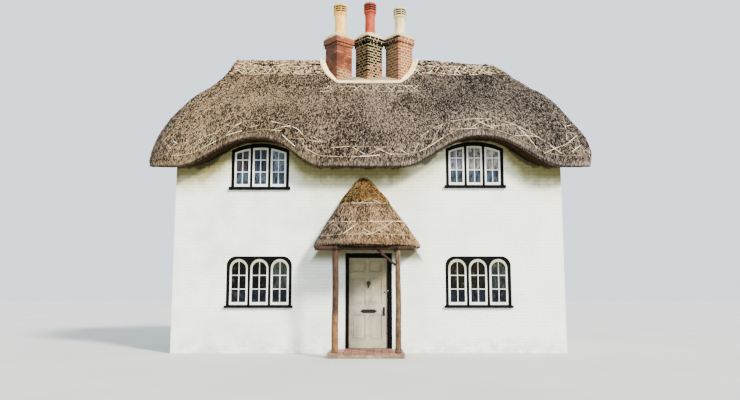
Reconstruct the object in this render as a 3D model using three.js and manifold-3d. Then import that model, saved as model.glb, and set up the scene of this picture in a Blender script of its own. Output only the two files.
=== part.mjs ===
// Thatched cottage: two storeys of painted masonry under one big half-hipped thatch, with an eyebrow
// over each upper window, three brick stacks set corner-on along the ridge, and a small thatched porch
// on two tree-trunk posts in front of the door.
// Millimetres, +Z up. The origin is on the ground, in the middle of the walls' rectangle. The front
// faces -Y, so left and right are as seen from the front, with +X to the right.
import * as THREE from "three";
import { mergeVertices } from "three/addons/utils/BufferGeometryUtils.js";
import Module from "manifold-3d";

const wasm = await Module();
wasm.setup();

// Touching pieces keep this gap.
const GAP = 0.3;

// Walls, and the floors between them
const HALF_LENGTH = 4350;
const HALF_DEPTH = 2250;
const WALL_THICKNESS = 330;
const FLOOR_TOP = 100;
const UPPER_FLOOR_BOTTOM = 2600;
const UPPER_FLOOR_TOP = 2790;
const WALL_TRIM_TOP = 7000;

// Doorway, door frame and door
const DOORWAY_HALF = 520;
const DOORWAY_TOP = 2196;
const DOOR_FRAME_FRONT = -HALF_DEPTH + 38;
const DOOR_FRAME_BACK = -HALF_DEPTH + 150;
const DOOR_CLEAR_HALF = 455;
const DOOR_CLEAR_TOP = 2105;
const DOOR_STOP = 18;
const DOOR_STOP_BACK = -HALF_DEPTH + 88;
const DOOR_THICKNESS = 45;
const DOOR_FRONT = -HALF_DEPTH + 94;
const DOOR_HINGE_GAP = 5;
const DOOR_LATCH_GAP = 8;
const DOOR_RUNNING_GAP = 5;
const HINGE_RADIUS = 8;
const HINGE_SETBACK = 9;
const HINGE_KNUCKLE = 45;
const HINGE_HEIGHTS = [340, 1100, 1860];

// Door furniture. The knocker's outline is half of it, from the foot up, about its middle.
const KNOCKER_Z = 1505;
const KNOCKER_PLATE = { half: 30, low: -20, high: 60, thickness: 8 };
const KNOCKER_DEPTH = 30;
const KNOCKER_HALF = [[0, -82], [12, -76], [16, -50], [30, -18], [45, 8], [46, 34], [34, 58], [16, 71], [0, 74]];
const LETTER_PLATE_Z = 912;
const LETTER_PLATE = { half: 145, halfHeight: 40, flapHalf: 115, flapHalfHeight: 27, earX: 158, earRadius: 22 };
const HANDLE_X = 340;
const HANDLE_Z = 905;
const HANDLE = { half: 22, halfHeight: 98, standOff: 42, gripHalf: 62, gripRadius: 13 };

// Windows: centre, bottom of the sill, and the size of the black frame above the sill. A light's top is
// given as where its curve springs and how far that rises.
const UPPER_WINDOW = { width: 1314, springHeight: 850, rise: 158, sill: 70, sillOverhang: 37 };
const LOWER_WINDOW = { width: 1460, height: 1085, corner: 210, sill: 55, sillOverhang: 30 };
const UPPER_SIDE_LIGHT = [814, 60];
const UPPER_MIDDLE_LIGHT = [892, 8];
const LOWER_LIGHT = [855, 165];
const UPPER_LEFT_X = -2460;
const UPPER_RIGHT_X = 2405;
const UPPER_LEFT_SILL_Z = 3616;
const UPPER_RIGHT_SILL_Z = 3656;
const LOWER_X = 2436;
const LOWER_SILL_Z = 985;
const WINDOW_FRONT = -HALF_DEPTH + 22;
const WINDOW_DEPTH = 62;
const WINDOW_POST = 73;
const WINDOW_MULLION = 52;
const WINDOW_BOTTOM_RAIL = 75;
const CASEMENT_STILE = 42;
const SILL_PROJECTION = 62;
const GLASS_THICKNESS = 6;
const GLASS_MARGIN = 30;

// Outer form of the thatch, as level rows from the lip to the ridge: height, half depth, reach to the
// left and to the right, and the corner radius that rolls the verges
const ROOF_ROWS = [
  [4045, 2680, 4950, 4990, 560],
  [4110, 2755, 4965, 5025, 600],
  [4225, 2750, 4975, 5055, 640],
  [4400, 2680, 4990, 5090, 685],
  [4620, 2530, 5010, 5122, 730],
  [4900, 2275, 5025, 5140, 765],
  [5300, 1867, 4982, 5070, 800],
  [5750, 1408, 4862, 4917, 820],
  [6150, 1000, 4650, 4725, 760],
  [6450, 660, 4365, 4455, 560],
  [6620, 500, 4140, 4225, 430],
  [6800, 385, 3940, 4000, 340],
  [7000, 272, 3735, 3740, 250],
  [7200, 165, 3600, 3490, 155],
  [7330, 85, 3520, 3270, 80],
  [7400, 25, 3461, 3090, 23],
];
// Rows further apart than this get a smooth one between them.
const ROOF_ROW_SPACING = 230;
const ROOF_STRAIGHT_STEPS = 34;
const ROOF_CORNER_STEPS = 4;
// The top of the form with few faces is enough for what lies along the ridge.
const RIDGE_ROWS = 8;
const RIDGE_STRAIGHT_STEPS = 12;
const RIDGE_CORNER_STEPS = 2;

// The ridge sags towards its right end.
const RIDGE_SAG = 120;
const RIDGE_SAG_START_X = 1400;
const RIDGE_SAG_LENGTH = 1700;
const RIDGE_SAG_LOW_Z = 6300;
const RIDGE_SAG_HEIGHT = 1100;

// Underside of the thatch: it rises a little from the lip to the wall, then with the rafters
const UNDER_WALL_Z = 4160;
const UNDER_LIP_SLOPE = 0.22;
const RAFTER_SLOPE = 1.2;
const HALF_HIP_EAVE_Z = 5620;
const HALF_HIP_SLOPE = 1.3;
const HALF_HIP_OVERHANG_SLOPE = 0.35;
const HALF_HIP_BLEND = 560;
const ROOF_REACH = 5600;
const ROOF_REACH_Y = 3300;
const BELOW_GROUND = -500;
const ABOVE_ROOF = 8500;

// Eyebrows over the upper windows: middle, lift of the lip, and how far each flank runs out at the lip
// and, on the underside, at the wall
const EYEBROWS = [
  { x: -2450, lift: 645, left: 1820, right: 1420, wallLeft: 1550, wallRight: 1470 },
  { x: 2500, lift: 690, left: 1780, right: 1840, wallLeft: 1765, wallRight: 1470 },
];
const EYEBROW_SHAPE = 1.2;
const EYEBROW_UPPER_Y = 500;
const EYEBROW_LENGTH_Y = 2250;
const EYEBROW_LIP_Y = 2690;

// Broad, shallow swells of the outer form, which fade out at the lip and near the ridge
const SWELL = 14;
const SWELL_ACROSS = 1900;
const SWELL_UP = 1600;
const SWELL_LIP_Z = [4100, 4500];
const SWELL_RIDGE_HALF_DEPTH = [600, 1100];

// Where the two slopes meet the two half-hips, in plan
const HIP_TOP_LEFT = -3400;
const HIP_TOP_RIGHT = 3050;
const HIP_EAVE_HALF = 1550;

// Ridge capping, one each side of the chimney
const RIDGE_CAP_LOW_Z = 6930;
const RIDGE_CAP_THICKNESS = 60;
const RIDGE_CAP_HALF_DEPTH = 1000;

// Chimney: a breast inside, a cement-topped base through the thatch, and three stacks with their pots.
// The stacks stand corner-on, turned a little further to the left.
const CHIMNEY_HALF_LENGTH = 1230;
const CHIMNEY_HALF_DEPTH = 370;
const CHIMNEY_TOP = 6380;
const STACK_SIDE = 505;
const STACK_PITCH = 800;
const STACK_TURN = THREE.MathUtils.degToRad(5);
const STACK_TOP = 7830;
const STACK_CAP_HEIGHT = 160;
const STACK_CAP_PROJECTION = 46;
const STACK_LOW_COURSE = 75;
const FLAUNCHING_HEIGHT = 140;
const FLAUNCHING_MARGIN = 50;
const FLAUNCHING_SHOULDER = 0.72;
const BASE_REACH = 1310;
const BASE_STRAIGHT = 820;
const BASE_HALF_DEPTH = 478;
// The base's top between the stacks, as distance from the ridge line and height
const BASE_TOP = [[0, 6992], [360, 6808], [405, 6788], [478, 6676]];
const BASE_ARM_RISE = 45;
const BASE_ARM_FROM = 740;
const BASE_ARM_TO = 920;
// The pots stand a little to the right of the middle of their stacks.
const POT_OFFSET = 32;
const POTS = [
  { name: "left_pot", height: 859, radius: 142, headRadius: 182, color: "#d9c089" },
  { name: "middle_pot", height: 902, radius: 134, headRadius: 172, color: "#b4533a" },
  { name: "right_pot", height: 771, radius: 141, headRadius: 180, color: "#e0d2ba" },
];

// Porch thatch: rows of height, half width and reach from the wall, and the hollow under them. It leans
// to the left as it rises.
const PORCH_X = -35;
const PORCH_LEAN = 0.052;
const PORCH_ROWS = [
  [2290, 1130, 1180],
  [2320, 1172, 1222],
  [2370, 1178, 1228],
  [2500, 1102, 1150],
  [2850, 872, 905],
  [3200, 630, 650],
  [3450, 430, 440],
  [3660, 248, 252],
  [3770, 152, 154],
  [3825, 76, 77],
  [3842, 16, 17],
];
const PORCH_STEPS = 18;
const PORCH_UNDER_ROWS = [
  [2200, 1300, 1350],
  [2289, 1133, 1183],
  [2336, 1000, 1050],
  [3480, 12, 12],
];
const PORCH_UNDER_WALL_TOP = 2980;

// Porch posts, rails, brace and floor
const PORCH_POSTS = [
  { name: "porch_post_left", x: -690, radius: 75, topRadius: 68 },
  { name: "porch_post_right", x: 610, radius: 65, topRadius: 58 },
];
const PORCH_POST_Y = -HALF_DEPTH - 1000;
const PORCH_RAIL_RADIUS = 45;
const PORCH_RAIL_FRONT = -HALF_DEPTH - 1175;
const PORCH_CROSS_RAIL = [-1120, 960];
const PORCH_BRACE = { fromX: 150, toX: 560, toZ: 1890, radius: 26 };
const PORCH_FLOOR = { left: -830, right: 745, front: -HALF_DEPTH - 1160 };

// Materials

const PAINT = { color: "#e9e8e0", roughness: 0.85, metalness: 0 };
const THATCH = { color: "#8a7b69", roughness: 0.95, metalness: 0 };
const BRICK = { color: "#9a5a45", roughness: 0.9, metalness: 0 };
const MORTAR = { color: "#d8cdb6", roughness: 0.9, metalness: 0 };
const BLACK_PAINT = { color: "#17171a", roughness: 0.4, metalness: 0 };
const DOOR_PAINT = { color: "#d9d4c6", roughness: 0.45, metalness: 0 };
const BLACK_IRON = { color: "#141416", roughness: 0.4, metalness: 0.6 };
const GLASS = { color: "#9fb0bd", roughness: 0.05, metalness: 0 };
const TIMBER = { color: "#8b6a4a", roughness: 0.8, metalness: 0 };
const BARE_POLE = { color: "#9c7452", roughness: 0.75, metalness: 0 };
const TILE = { color: "#8a5446", roughness: 0.7, metalness: 0 };
const CONCRETE = { color: "#a8a49a", roughness: 0.9, metalness: 0 };

// Solids

// A closed three.js geometry as a solid that can be joined and cut.
function solidOf(geometry) {
  const bare = geometry.index ? geometry.toNonIndexed() : geometry.clone();
  bare.deleteAttribute("normal");
  bare.deleteAttribute("uv");
  const merged = mergeVertices(bare, 1e-3);
  return new wasm.Manifold(
    new wasm.Mesh({
      numProp: 3,
      vertProperties: merged.attributes.position.array,
      triVerts: new Uint32Array(merged.index.array),
    }),
  );
}

function geometryOf(solid) {
  const mesh = solid.getMesh();
  const geometry = new THREE.BufferGeometry();
  geometry.setAttribute("position", new THREE.BufferAttribute(mesh.vertProperties, 3));
  geometry.setIndex(new THREE.BufferAttribute(mesh.triVerts, 1));
  geometry.computeVertexNormals();
  return geometry;
}

function joined(solids) {
  return solids.reduce((all, solid) => all.add(solid));
}

function boxSolid(x, y, z) {
  const geometry = new THREE.BoxGeometry(x[1] - x[0], y[1] - y[0], z[1] - z[0]);
  geometry.translate((x[0] + x[1]) / 2, (y[0] + y[1]) / 2, (z[0] + z[1]) / 2);
  return solidOf(geometry);
}

// An outline drawn in X and Z, run through from the front Y to the back Y.
function throughSolid(shape, yFront, yBack) {
  const depth = yBack - yFront;
  const geometry = new THREE.ExtrudeGeometry(shape, { depth, bevelEnabled: false, curveSegments: 6 });
  geometry.rotateX(Math.PI / 2);
  geometry.translate(0, yBack, 0);
  return solidOf(geometry);
}

// An outline drawn in plan, run up from one height to another.
function uprightSolid(points, zLow, zHigh) {
  const shape = new THREE.Shape(points.map(([x, y]) => new THREE.Vector2(x, y)));
  const geometry = new THREE.ExtrudeGeometry(shape, { depth: zHigh - zLow, bevelEnabled: false });
  geometry.translate(0, 0, zLow);
  return solidOf(geometry);
}

// A round pole between two points, as tapered as its two radii say.
function poleSolid(from, to, radius, endRadius = radius, sides = 12) {
  const start = new THREE.Vector3(...from);
  const run = new THREE.Vector3(...to).sub(start);
  const geometry = new THREE.CylinderGeometry(endRadius, radius, run.length(), sides);
  geometry.translate(0, run.length() / 2, 0);
  const turn = new THREE.Quaternion().setFromUnitVectors(new THREE.Vector3(0, 1, 0), run.clone().normalize());
  geometry.applyQuaternion(turn);
  geometry.translate(start.x, start.y, start.z);
  return solidOf(geometry);
}

// A turned piece standing at x, y: its profile is radius and height, from the axis to the axis.
function turnedSolid(profile, x, y, z, sides = 14) {
  const geometry = new THREE.LatheGeometry(profile.map(([r, h]) => new THREE.Vector2(r, h)), sides);
  geometry.rotateX(Math.PI / 2);
  geometry.translate(x, y, z);
  return solidOf(geometry);
}

// A closed body from level rings of equal length. Each ring runs once round, as two halves that mirror
// each other in Y, so that strips between the halves close its top and bottom.
function loftSolid(rings) {
  const count = rings[0].length;
  const positions = new Float32Array(rings.flat(2));
  const triangles = [];
  const quad = (a, b, c, d) => triangles.push(a, b, c, a, c, d);
  for (let row = 0; row + 1 < rings.length; row += 1) {
    for (let i = 0; i < count; i += 1) {
      const next = (i + 1) % count;
      quad(row * count + i, row * count + next, (row + 1) * count + next, (row + 1) * count + i);
    }
  }
  const top = (rings.length - 1) * count;
  for (let i = 0; i + 1 < count / 2; i += 1) {
    const mirror = count - 1 - i;
    quad(i, mirror, mirror - 1, i + 1);
    quad(top + i, top + i + 1, top + mirror - 1, top + mirror);
  }
  const geometry = new THREE.BufferGeometry();
  geometry.setAttribute("position", new THREE.BufferAttribute(positions, 3));
  geometry.setIndex(triangles);
  return solidOf(geometry);
}

// Everything below a surface given as a height over X and Y, on a grid of the given lines.
function belowSurface(xs, ys, heightAt, zLow) {
  const positions = [];
  for (const x of xs) {
    for (const y of ys) {
      positions.push(x, y, zLow, x, y, heightAt(x, y));
    }
  }
  const triangles = [];
  const low = (i, j) => 2 * (i * ys.length + j);
  const high = (i, j) => low(i, j) + 1;
  const quad = (a, b, c, d) => triangles.push(a, b, c, a, c, d);
  const lastX = xs.length - 1;
  const lastY = ys.length - 1;
  for (let i = 0; i < lastX; i += 1) {
    for (let j = 0; j < lastY; j += 1) {
      quad(high(i, j), high(i + 1, j), high(i + 1, j + 1), high(i, j + 1));
      quad(low(i, j), low(i, j + 1), low(i + 1, j + 1), low(i + 1, j));
    }
    quad(low(i, 0), low(i + 1, 0), high(i + 1, 0), high(i, 0));
    quad(low(i + 1, lastY), low(i, lastY), high(i, lastY), high(i + 1, lastY));
  }
  for (let j = 0; j < lastY; j += 1) {
    quad(low(0, j + 1), low(0, j), high(0, j), high(0, j + 1));
    quad(low(lastX, j), low(lastX, j + 1), high(lastX, j + 1), high(lastX, j));
  }
  const geometry = new THREE.BufferGeometry();
  geometry.setAttribute("position", new THREE.BufferAttribute(new Float32Array(positions), 3));
  geometry.setIndex(triangles);
  return solidOf(geometry);
}

// Values from start to end in equal steps, both ends included.
function steps(start, end, count) {
  return Array.from({ length: count + 1 }, (_, i) => start + ((end - start) * i) / count);
}

function bothSigns(values) {
  return [...values.map((value) => -value), 0, ...[...values].reverse()];
}

// The value at a place along a table of place and value, straight between its entries.
function valueAt(table, place) {
  const after = table.findIndex(([at]) => at >= place);
  if (after <= 0) {
    return after === 0 ? table[0][1] : table[table.length - 1][1];
  }
  const [[fromAt, from], [toAt, to]] = [table[after - 1], table[after]];
  return from + ((to - from) * (place - fromAt)) / (toAt - fromAt);
}

// Thatch surfaces

const smooth = THREE.MathUtils.smoothstep;

// How far the eave is lifted at x, from the eyebrows alone, between the lip (0) and the wall (1).
function eyebrowLift(x, wallShare) {
  let lift = 0;
  for (const brow of EYEBROWS) {
    const [lip, wall] = x < brow.x ? [brow.left, brow.wallLeft] : [brow.right, brow.wallRight];
    const flank = THREE.MathUtils.lerp(lip, wall, wallShare);
    const away = Math.min(1, Math.abs(x - brow.x) / flank);
    lift += (brow.lift * (1 + Math.cos(Math.PI * away ** EYEBROW_SHAPE))) / 2;
  }
  return lift;
}

// The share of that lift at a distance y from the ridge line: none near the ridge, all at the lip.
function eyebrowShare(y) {
  return smooth(Math.abs(y), EYEBROW_UPPER_Y, EYEBROW_UPPER_Y + EYEBROW_LENGTH_Y);
}

function ridgeSag(x, z) {
  const along = smooth(x, RIDGE_SAG_START_X, RIDGE_SAG_START_X + RIDGE_SAG_LENGTH);
  return RIDGE_SAG * along * THREE.MathUtils.clamp((z - RIDGE_SAG_LOW_Z) / RIDGE_SAG_HEIGHT, 0, 1);
}

// How far the outer form swells outward at a point of the row of that height and half depth.
function swell(x, y, z, halfDepth) {
  const turn = 2 * Math.PI;
  const across = Math.sin((turn * (x + y / 2)) / SWELL_ACROSS + Math.sin((turn * z) / (2 * SWELL_UP)));
  const up = Math.cos((turn * z) / SWELL_UP + Math.sin((turn * x) / (2 * SWELL_ACROSS)));
  return SWELL * across * up * smooth(z, ...SWELL_LIP_Z) * smooth(halfDepth, ...SWELL_RIDGE_HALF_DEPTH);
}

// One level ring of the thatch's outer form: a rectangle with round corners, lifted at the eyebrows.
// Each point of the front half is given with the direction that it faces.
function roofRing([z, halfDepth, left, right, radius], straightSteps, cornerSteps) {
  const half = [];
  const side = halfDepth - radius;
  half.push([-left, -side / 3, -1, 0]);
  for (const turn of steps(0, Math.PI / 2, cornerSteps)) {
    const [out, forward] = [Math.cos(turn), Math.sin(turn)];
    half.push([-left + radius * (1 - out), -side - radius * forward, -out, -forward]);
  }
  for (const x of steps(radius - left, right - radius, straightSteps).slice(1, -1)) {
    half.push([x, -halfDepth, 0, -1]);
  }
  for (const turn of steps(Math.PI / 2, 0, cornerSteps)) {
    const [out, forward] = [Math.cos(turn), Math.sin(turn)];
    half.push([right - radius * (1 - out), -side - radius * forward, out, -forward]);
  }
  half.push([right, -side / 3, 1, 0]);
  const mirrored = half.map(([x, y, faceX, faceY]) => [x, -y, faceX, -faceY]).reverse();
  return [...half, ...mirrored].map(([x, y, faceX, faceY]) => {
    const out = swell(x, y, z, halfDepth);
    const lifted = z + eyebrowLift(x, 0) * eyebrowShare(y) - ridgeSag(x, z);
    return [x + faceX * out, y + faceY * out, lifted];
  });
}

// The rows with smooth ones added where they lie far apart.
function smoothRows(rows) {
  const between = (i, k) => {
    const slope = (j) => (rows[j + 1][k] - rows[j - 1][k]) / (rows[j + 1][0] - rows[j - 1][0]);
    const height = rows[i + 1][0] - rows[i][0];
    return (rows[i][k] + rows[i + 1][k]) / 2 + ((slope(i) - slope(i + 1)) * height) / 8;
  };
  return rows.flatMap((row, i) => {
    const far = i > 0 && i + 2 < rows.length && rows[i + 1][0] - row[0] > ROOF_ROW_SPACING;
    return far ? [row, [(row[0] + rows[i + 1][0]) / 2, ...[1, 2, 3, 4].map((k) => between(i, k))]] : [row];
  });
}

// Height of the thatch's underside: the smaller of the main slope and the half-hip, rounded together.
function undersideHeight(x, y) {
  const outY = HALF_DEPTH - Math.abs(y);
  const outX = HALF_LENGTH - Math.abs(x);
  const wallShare = THREE.MathUtils.clamp((EYEBROW_LIP_Y - Math.abs(y)) / (EYEBROW_LIP_Y - HALF_DEPTH), 0, 1);
  const lifted = eyebrowLift(x, wallShare) * eyebrowShare(y);
  const slope = UNDER_WALL_Z + outY * (outY > 0 ? RAFTER_SLOPE : UNDER_LIP_SLOPE) + lifted;
  const hip = HALF_HIP_EAVE_Z + outX * (outX > 0 ? HALF_HIP_SLOPE : HALF_HIP_OVERHANG_SLOPE);
  const share = THREE.MathUtils.clamp(0.5 + (hip - slope) / (2 * HALF_HIP_BLEND), 0, 1);
  return hip + (slope - hip) * share - HALF_HIP_BLEND * share * (1 - share);
}

const UNDERSIDE_X = [
  ...[ROOF_REACH, 5150, 4850, 4600, HALF_LENGTH].map((x) => -x),
  ...steps(-4120, -880, 12),
  0,
  ...steps(880, 4120, 12),
  ...[HALF_LENGTH, 4600, 4850, 5150, ROOF_REACH],
];
const UNDERSIDE_HALF_Y = [ROOF_REACH_Y, EYEBROW_LIP_Y, HALF_DEPTH, 1980, 1650, 1300, 980, 660, 330];
const UNDERSIDE_Y = bothSigns(UNDERSIDE_HALF_Y);

// The space under the thatch. A drop lowers its top, for what stops just short of the thatch.
function spaceUnderThatch(drop) {
  return belowSurface(UNDERSIDE_X, UNDERSIDE_Y, (x, y) => undersideHeight(x, y) - drop, BELOW_GROUND);
}

const roofForm = loftSolid(
  smoothRows(ROOF_ROWS).map((row) => roofRing(row, ROOF_STRAIGHT_STEPS, ROOF_CORNER_STEPS)),
);
const ridgeForm = loftSolid(
  ROOF_ROWS.slice(-RIDGE_ROWS).map((row) => roofRing(row, RIDGE_STRAIGHT_STEPS, RIDGE_CORNER_STEPS)),
);
const underThatch = spaceUnderThatch(0);
const wallSpace = spaceUnderThatch(GAP);

// Height of the front slope's surface at a distance from the ridge line, away from the eyebrows.
function slopeHeight(distance) {
  return valueAt(ROOF_ROWS.map(([z, halfDepth]) => [halfDepth, z]).reverse(), distance);
}

function movedDown(solid, drop) {
  return solid.translate([0, 0, -drop]);
}

// Chimney

function stackX(index) {
  return (index - 1) * STACK_PITCH;
}

// A stack's square, as a plan outline.
function diamond(x, side) {
  const reach = side * Math.SQRT1_2;
  return [0, 1, 2, 3].map((corner) => {
    const angle = Math.PI - STACK_TURN + (corner * Math.PI) / 2;
    return [x + reach * Math.cos(angle), reach * Math.sin(angle)];
  });
}

// A stack: shaft, projecting courses and cap, with mortar rounded up to the pot.
function stackSolid(index) {
  const x = stackX(index);
  const capSide = STACK_SIDE + 2 * STACK_CAP_PROJECTION;
  const capTop = STACK_TOP + STACK_CAP_HEIGHT;
  const shaft = uprightSolid(diamond(x, STACK_SIDE), CHIMNEY_TOP + GAP, STACK_TOP + 1);
  const lowCourse = uprightSolid(
    diamond(x, STACK_SIDE + STACK_CAP_PROJECTION),
    STACK_TOP - STACK_LOW_COURSE,
    STACK_TOP + 1,
  );
  const cap = uprightSolid(diamond(x, capSide), STACK_TOP, capTop);
  const footRadius = capSide / 2;
  const topRadius = POTS[index].radius + FLAUNCHING_MARGIN;
  const flaunching = turnedSolid(
    [
      [0, 0],
      [footRadius, 0],
      [footRadius, 1],
      [(footRadius + topRadius) / 2, FLAUNCHING_HEIGHT * FLAUNCHING_SHOULDER],
      [topRadius, FLAUNCHING_HEIGHT + 1],
      [0, FLAUNCHING_HEIGHT + 1],
    ],
    x,
    0,
    capTop - 1,
    16,
  );
  return joined([shaft, lowCourse, cap, flaunching]);
}

// A clay pot: a plain shaft under a head of rings with a domed lid. Its flue is closed by the lid.
function potSolid(index) {
  const { height, radius, headRadius } = POTS[index];
  const headBottom = height - 300;
  const profile = [
    [0, 0],
    [radius + 12, 0],
    [radius, 60],
    [radius, headBottom - 40],
    [headRadius, headBottom],
    [headRadius, headBottom + 56],
    [headRadius - 22, headBottom + 78],
    [headRadius, headBottom + 104],
    [headRadius, headBottom + 144],
    [headRadius - 22, headBottom + 168],
    [headRadius, headBottom + 194],
    [headRadius, headBottom + 232],
    [headRadius * 0.72, headBottom + 276],
    [0, height],
  ];
  const base = STACK_TOP + STACK_CAP_HEIGHT + FLAUNCHING_HEIGHT + GAP;
  return turnedSolid(profile, stackX(index) + POT_OFFSET, 0, base);
}

// The plan of the base round the three stacks, grown by a margin.
function baseOutline(margin) {
  const [reach, straight, depth] = [BASE_REACH + margin, BASE_STRAIGHT, BASE_HALF_DEPTH + margin];
  return [[-reach, 0], [-straight, -depth], [straight, -depth], [reach, 0], [straight, depth], [-straight, depth]];
}

// The base's top: nearly level between the stacks, and up the slope of the thatch at both ends.
function baseTopHeight(x, y) {
  const middle = valueAt(BASE_TOP, Math.abs(y));
  const arm = slopeHeight(Math.abs(y)) + BASE_ARM_RISE;
  return middle + (arm - middle) * smooth(Math.abs(x), BASE_ARM_FROM, BASE_ARM_TO);
}

const BASE_X = [1400, 1250, 1100, 1000, BASE_ARM_TO, 860, 800, BASE_ARM_FROM];
const BASE_Y = [500, 478, 405, 360, 272, 165, 85, 25];

// The cement-topped base, from the breast up through the thatch, open for the stacks.
function chimneyBaseSolid() {
  const around = uprightSolid(baseOutline(0), CHIMNEY_TOP + GAP, ABOVE_ROOF);
  const below = belowSurface(bothSigns(BASE_X), bothSigns(BASE_Y), baseTopHeight, BELOW_GROUND);
  return around.intersect(below).subtract(stacksGrown());
}

// All three stacks with the gap round them.
function stacksGrown() {
  const side = STACK_SIDE + 2 * GAP;
  const shafts = [0, 1, 2].map((i) => uprightSolid(diamond(stackX(i), side), CHIMNEY_TOP - 1, STACK_TOP - 100));
  return joined(shafts);
}

// Thatch pieces

function chimneySpace() {
  return uprightSolid(baseOutline(GAP), CHIMNEY_TOP, ABOVE_ROOF);
}

function ridgeCapRegion(zLow) {
  return boxSolid([-ROOF_REACH, ROOF_REACH], [-RIDGE_CAP_HALF_DEPTH, RIDGE_CAP_HALF_DEPTH], [zLow, ABOVE_ROOF]);
}

// The outer form less the space under it, cut for the chimney and for the ridge capping.
function thatchShell() {
  const capRoom = ridgeCapRegion(RIDGE_CAP_LOW_Z - GAP).subtract(movedDown(ridgeForm, RIDGE_CAP_THICKNESS + GAP));
  return roofForm.subtract(underThatch).subtract(capRoom).subtract(chimneySpace());
}

function ridgeCapSolid(side) {
  const skin = ridgeForm.subtract(movedDown(ridgeForm, RIDGE_CAP_THICKNESS));
  const x = side < 0 ? [-ROOF_REACH, 0] : [0, ROOF_REACH];
  const half = boxSolid(x, [-RIDGE_CAP_HALF_DEPTH, RIDGE_CAP_HALF_DEPTH], [0, ABOVE_ROOF]);
  return skin.intersect(ridgeCapRegion(RIDGE_CAP_LOW_Z)).subtract(chimneySpace()).intersect(half);
}

// The plan areas of the two slopes and the two half-hips, with the gap between them.
function slopeArea(side) {
  return [
    [HIP_TOP_LEFT, (side * GAP) / 2],
    [HIP_TOP_RIGHT, (side * GAP) / 2],
    [ROOF_REACH, side * HIP_EAVE_HALF],
    [ROOF_REACH, side * ROOF_REACH_Y],
    [-ROOF_REACH, side * ROOF_REACH_Y],
    [-ROOF_REACH, side * HIP_EAVE_HALF],
  ];
}

function hipArea(apexX, side) {
  const apex = apexX + side * 2 * GAP;
  const reach = side * (ROOF_REACH + 2 * GAP);
  return [[apex, 0], [reach, -HIP_EAVE_HALF], [reach, HIP_EAVE_HALF]];
}

// A plan area as a tall prism, whichever way round its corners are listed.
function orderedArea(points) {
  const clockwise = THREE.ShapeUtils.isClockWise(points.map(([x, y]) => new THREE.Vector2(x, y)));
  return uprightSolid(clockwise ? [...points].reverse() : points, 0, ABOVE_ROOF);
}

// Windows

function arch(halfWidth, bottom, springHeight, rise) {
  const radius = (halfWidth * halfWidth + rise * rise) / (2 * rise);
  const angle = Math.asin(halfWidth / radius);
  const shape = new THREE.Shape();
  shape.moveTo(-halfWidth, bottom);
  shape.lineTo(halfWidth, bottom);
  shape.absarc(0, springHeight + rise - radius, radius, Math.PI / 2 - angle, Math.PI / 2 + angle, false);
  shape.closePath();
  return shape;
}

function roundedTop(halfWidth, bottom, top, corner) {
  const shape = new THREE.Shape();
  shape.moveTo(-halfWidth, bottom);
  shape.lineTo(halfWidth, bottom);
  shape.absarc(halfWidth - corner, top - corner, corner, 0, Math.PI / 2, false);
  shape.absarc(corner - halfWidth, top - corner, corner, Math.PI / 2, Math.PI, false);
  shape.closePath();
  return shape;
}

// A light's glass opening, inside its casement. Its top is an arch of the given height.
function lightSolid(left, right, bottom, spring, rise) {
  const shape = arch((right - left) / 2, bottom, spring, rise);
  const through = throughSolid(shape, WINDOW_FRONT - 10, WINDOW_FRONT + WINDOW_DEPTH + 10);
  return through.translate([(left + right) / 2, 0, 0]);
}

// The two kinds of window, drawn about x = 0 with the bottom of the sill at z = 0.
const windowKinds = {
  upper: {
    ...UPPER_WINDOW,
    outline: (margin) =>
      arch(
        UPPER_WINDOW.width / 2 - margin,
        margin,
        UPPER_WINDOW.sill + UPPER_WINDOW.springHeight - margin,
        UPPER_WINDOW.rise,
      ),
    lightTop: (middle) => (middle ? UPPER_MIDDLE_LIGHT : UPPER_SIDE_LIGHT),
  },
  lower: {
    ...LOWER_WINDOW,
    outline: (margin) =>
      roundedTop(
        LOWER_WINDOW.width / 2 - margin,
        margin,
        LOWER_WINDOW.sill + LOWER_WINDOW.height - margin,
        LOWER_WINDOW.corner - margin,
      ),
    lightTop: () => LOWER_LIGHT,
  },
};

function windowSolid(kind) {
  const { width, sill, sillOverhang, outline, lightTop } = windowKinds[kind];
  const frame = throughSolid(outline(0), WINDOW_FRONT, WINDOW_FRONT + WINDOW_DEPTH);
  const pitch = (width - 2 * WINDOW_POST + WINDOW_MULLION) / 3;
  const lights = [-1, 0, 1].map((side) => {
    const half = (pitch - WINDOW_MULLION) / 2 - CASEMENT_STILE;
    const [spring, rise] = lightTop(side === 0);
    return lightSolid(side * pitch - half, side * pitch + half, sill + WINDOW_BOTTOM_RAIL, spring, rise);
  });
  const faceY = -HALF_DEPTH - GAP;
  const sillHalf = width / 2 + sillOverhang;
  const sillBoard = boxSolid([-sillHalf, sillHalf], [faceY - SILL_PROJECTION, faceY], [0, sill]);
  const sillTail = boxSolid([-width / 2, width / 2], [faceY - 5, WINDOW_FRONT + 5], [0, sill]);
  return joined([frame.subtract(joined(lights)), sillBoard, sillTail]);
}

function glassSolid(kind) {
  const back = WINDOW_FRONT + WINDOW_DEPTH + GAP;
  return throughSolid(windowKinds[kind].outline(GLASS_MARGIN), back, back + GLASS_THICKNESS);
}

// The hole in the wall for a window.
function windowHole(kind, x, z) {
  const outline = windowKinds[kind].outline(-GAP);
  return throughSolid(outline, -HALF_DEPTH - 50, -HALF_DEPTH + WALL_THICKNESS + 50).translate([x, 0, z]);
}

// Every window of one face: two up, two down.
const WINDOWS = [
  { name: "upper_left", kind: "upper", x: UPPER_LEFT_X, z: UPPER_LEFT_SILL_Z },
  { name: "upper_right", kind: "upper", x: UPPER_RIGHT_X, z: UPPER_RIGHT_SILL_Z },
  { name: "lower_left", kind: "lower", x: -LOWER_X, z: LOWER_SILL_Z },
  { name: "lower_right", kind: "lower", x: LOWER_X, z: LOWER_SILL_Z },
];

// Walls

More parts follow.
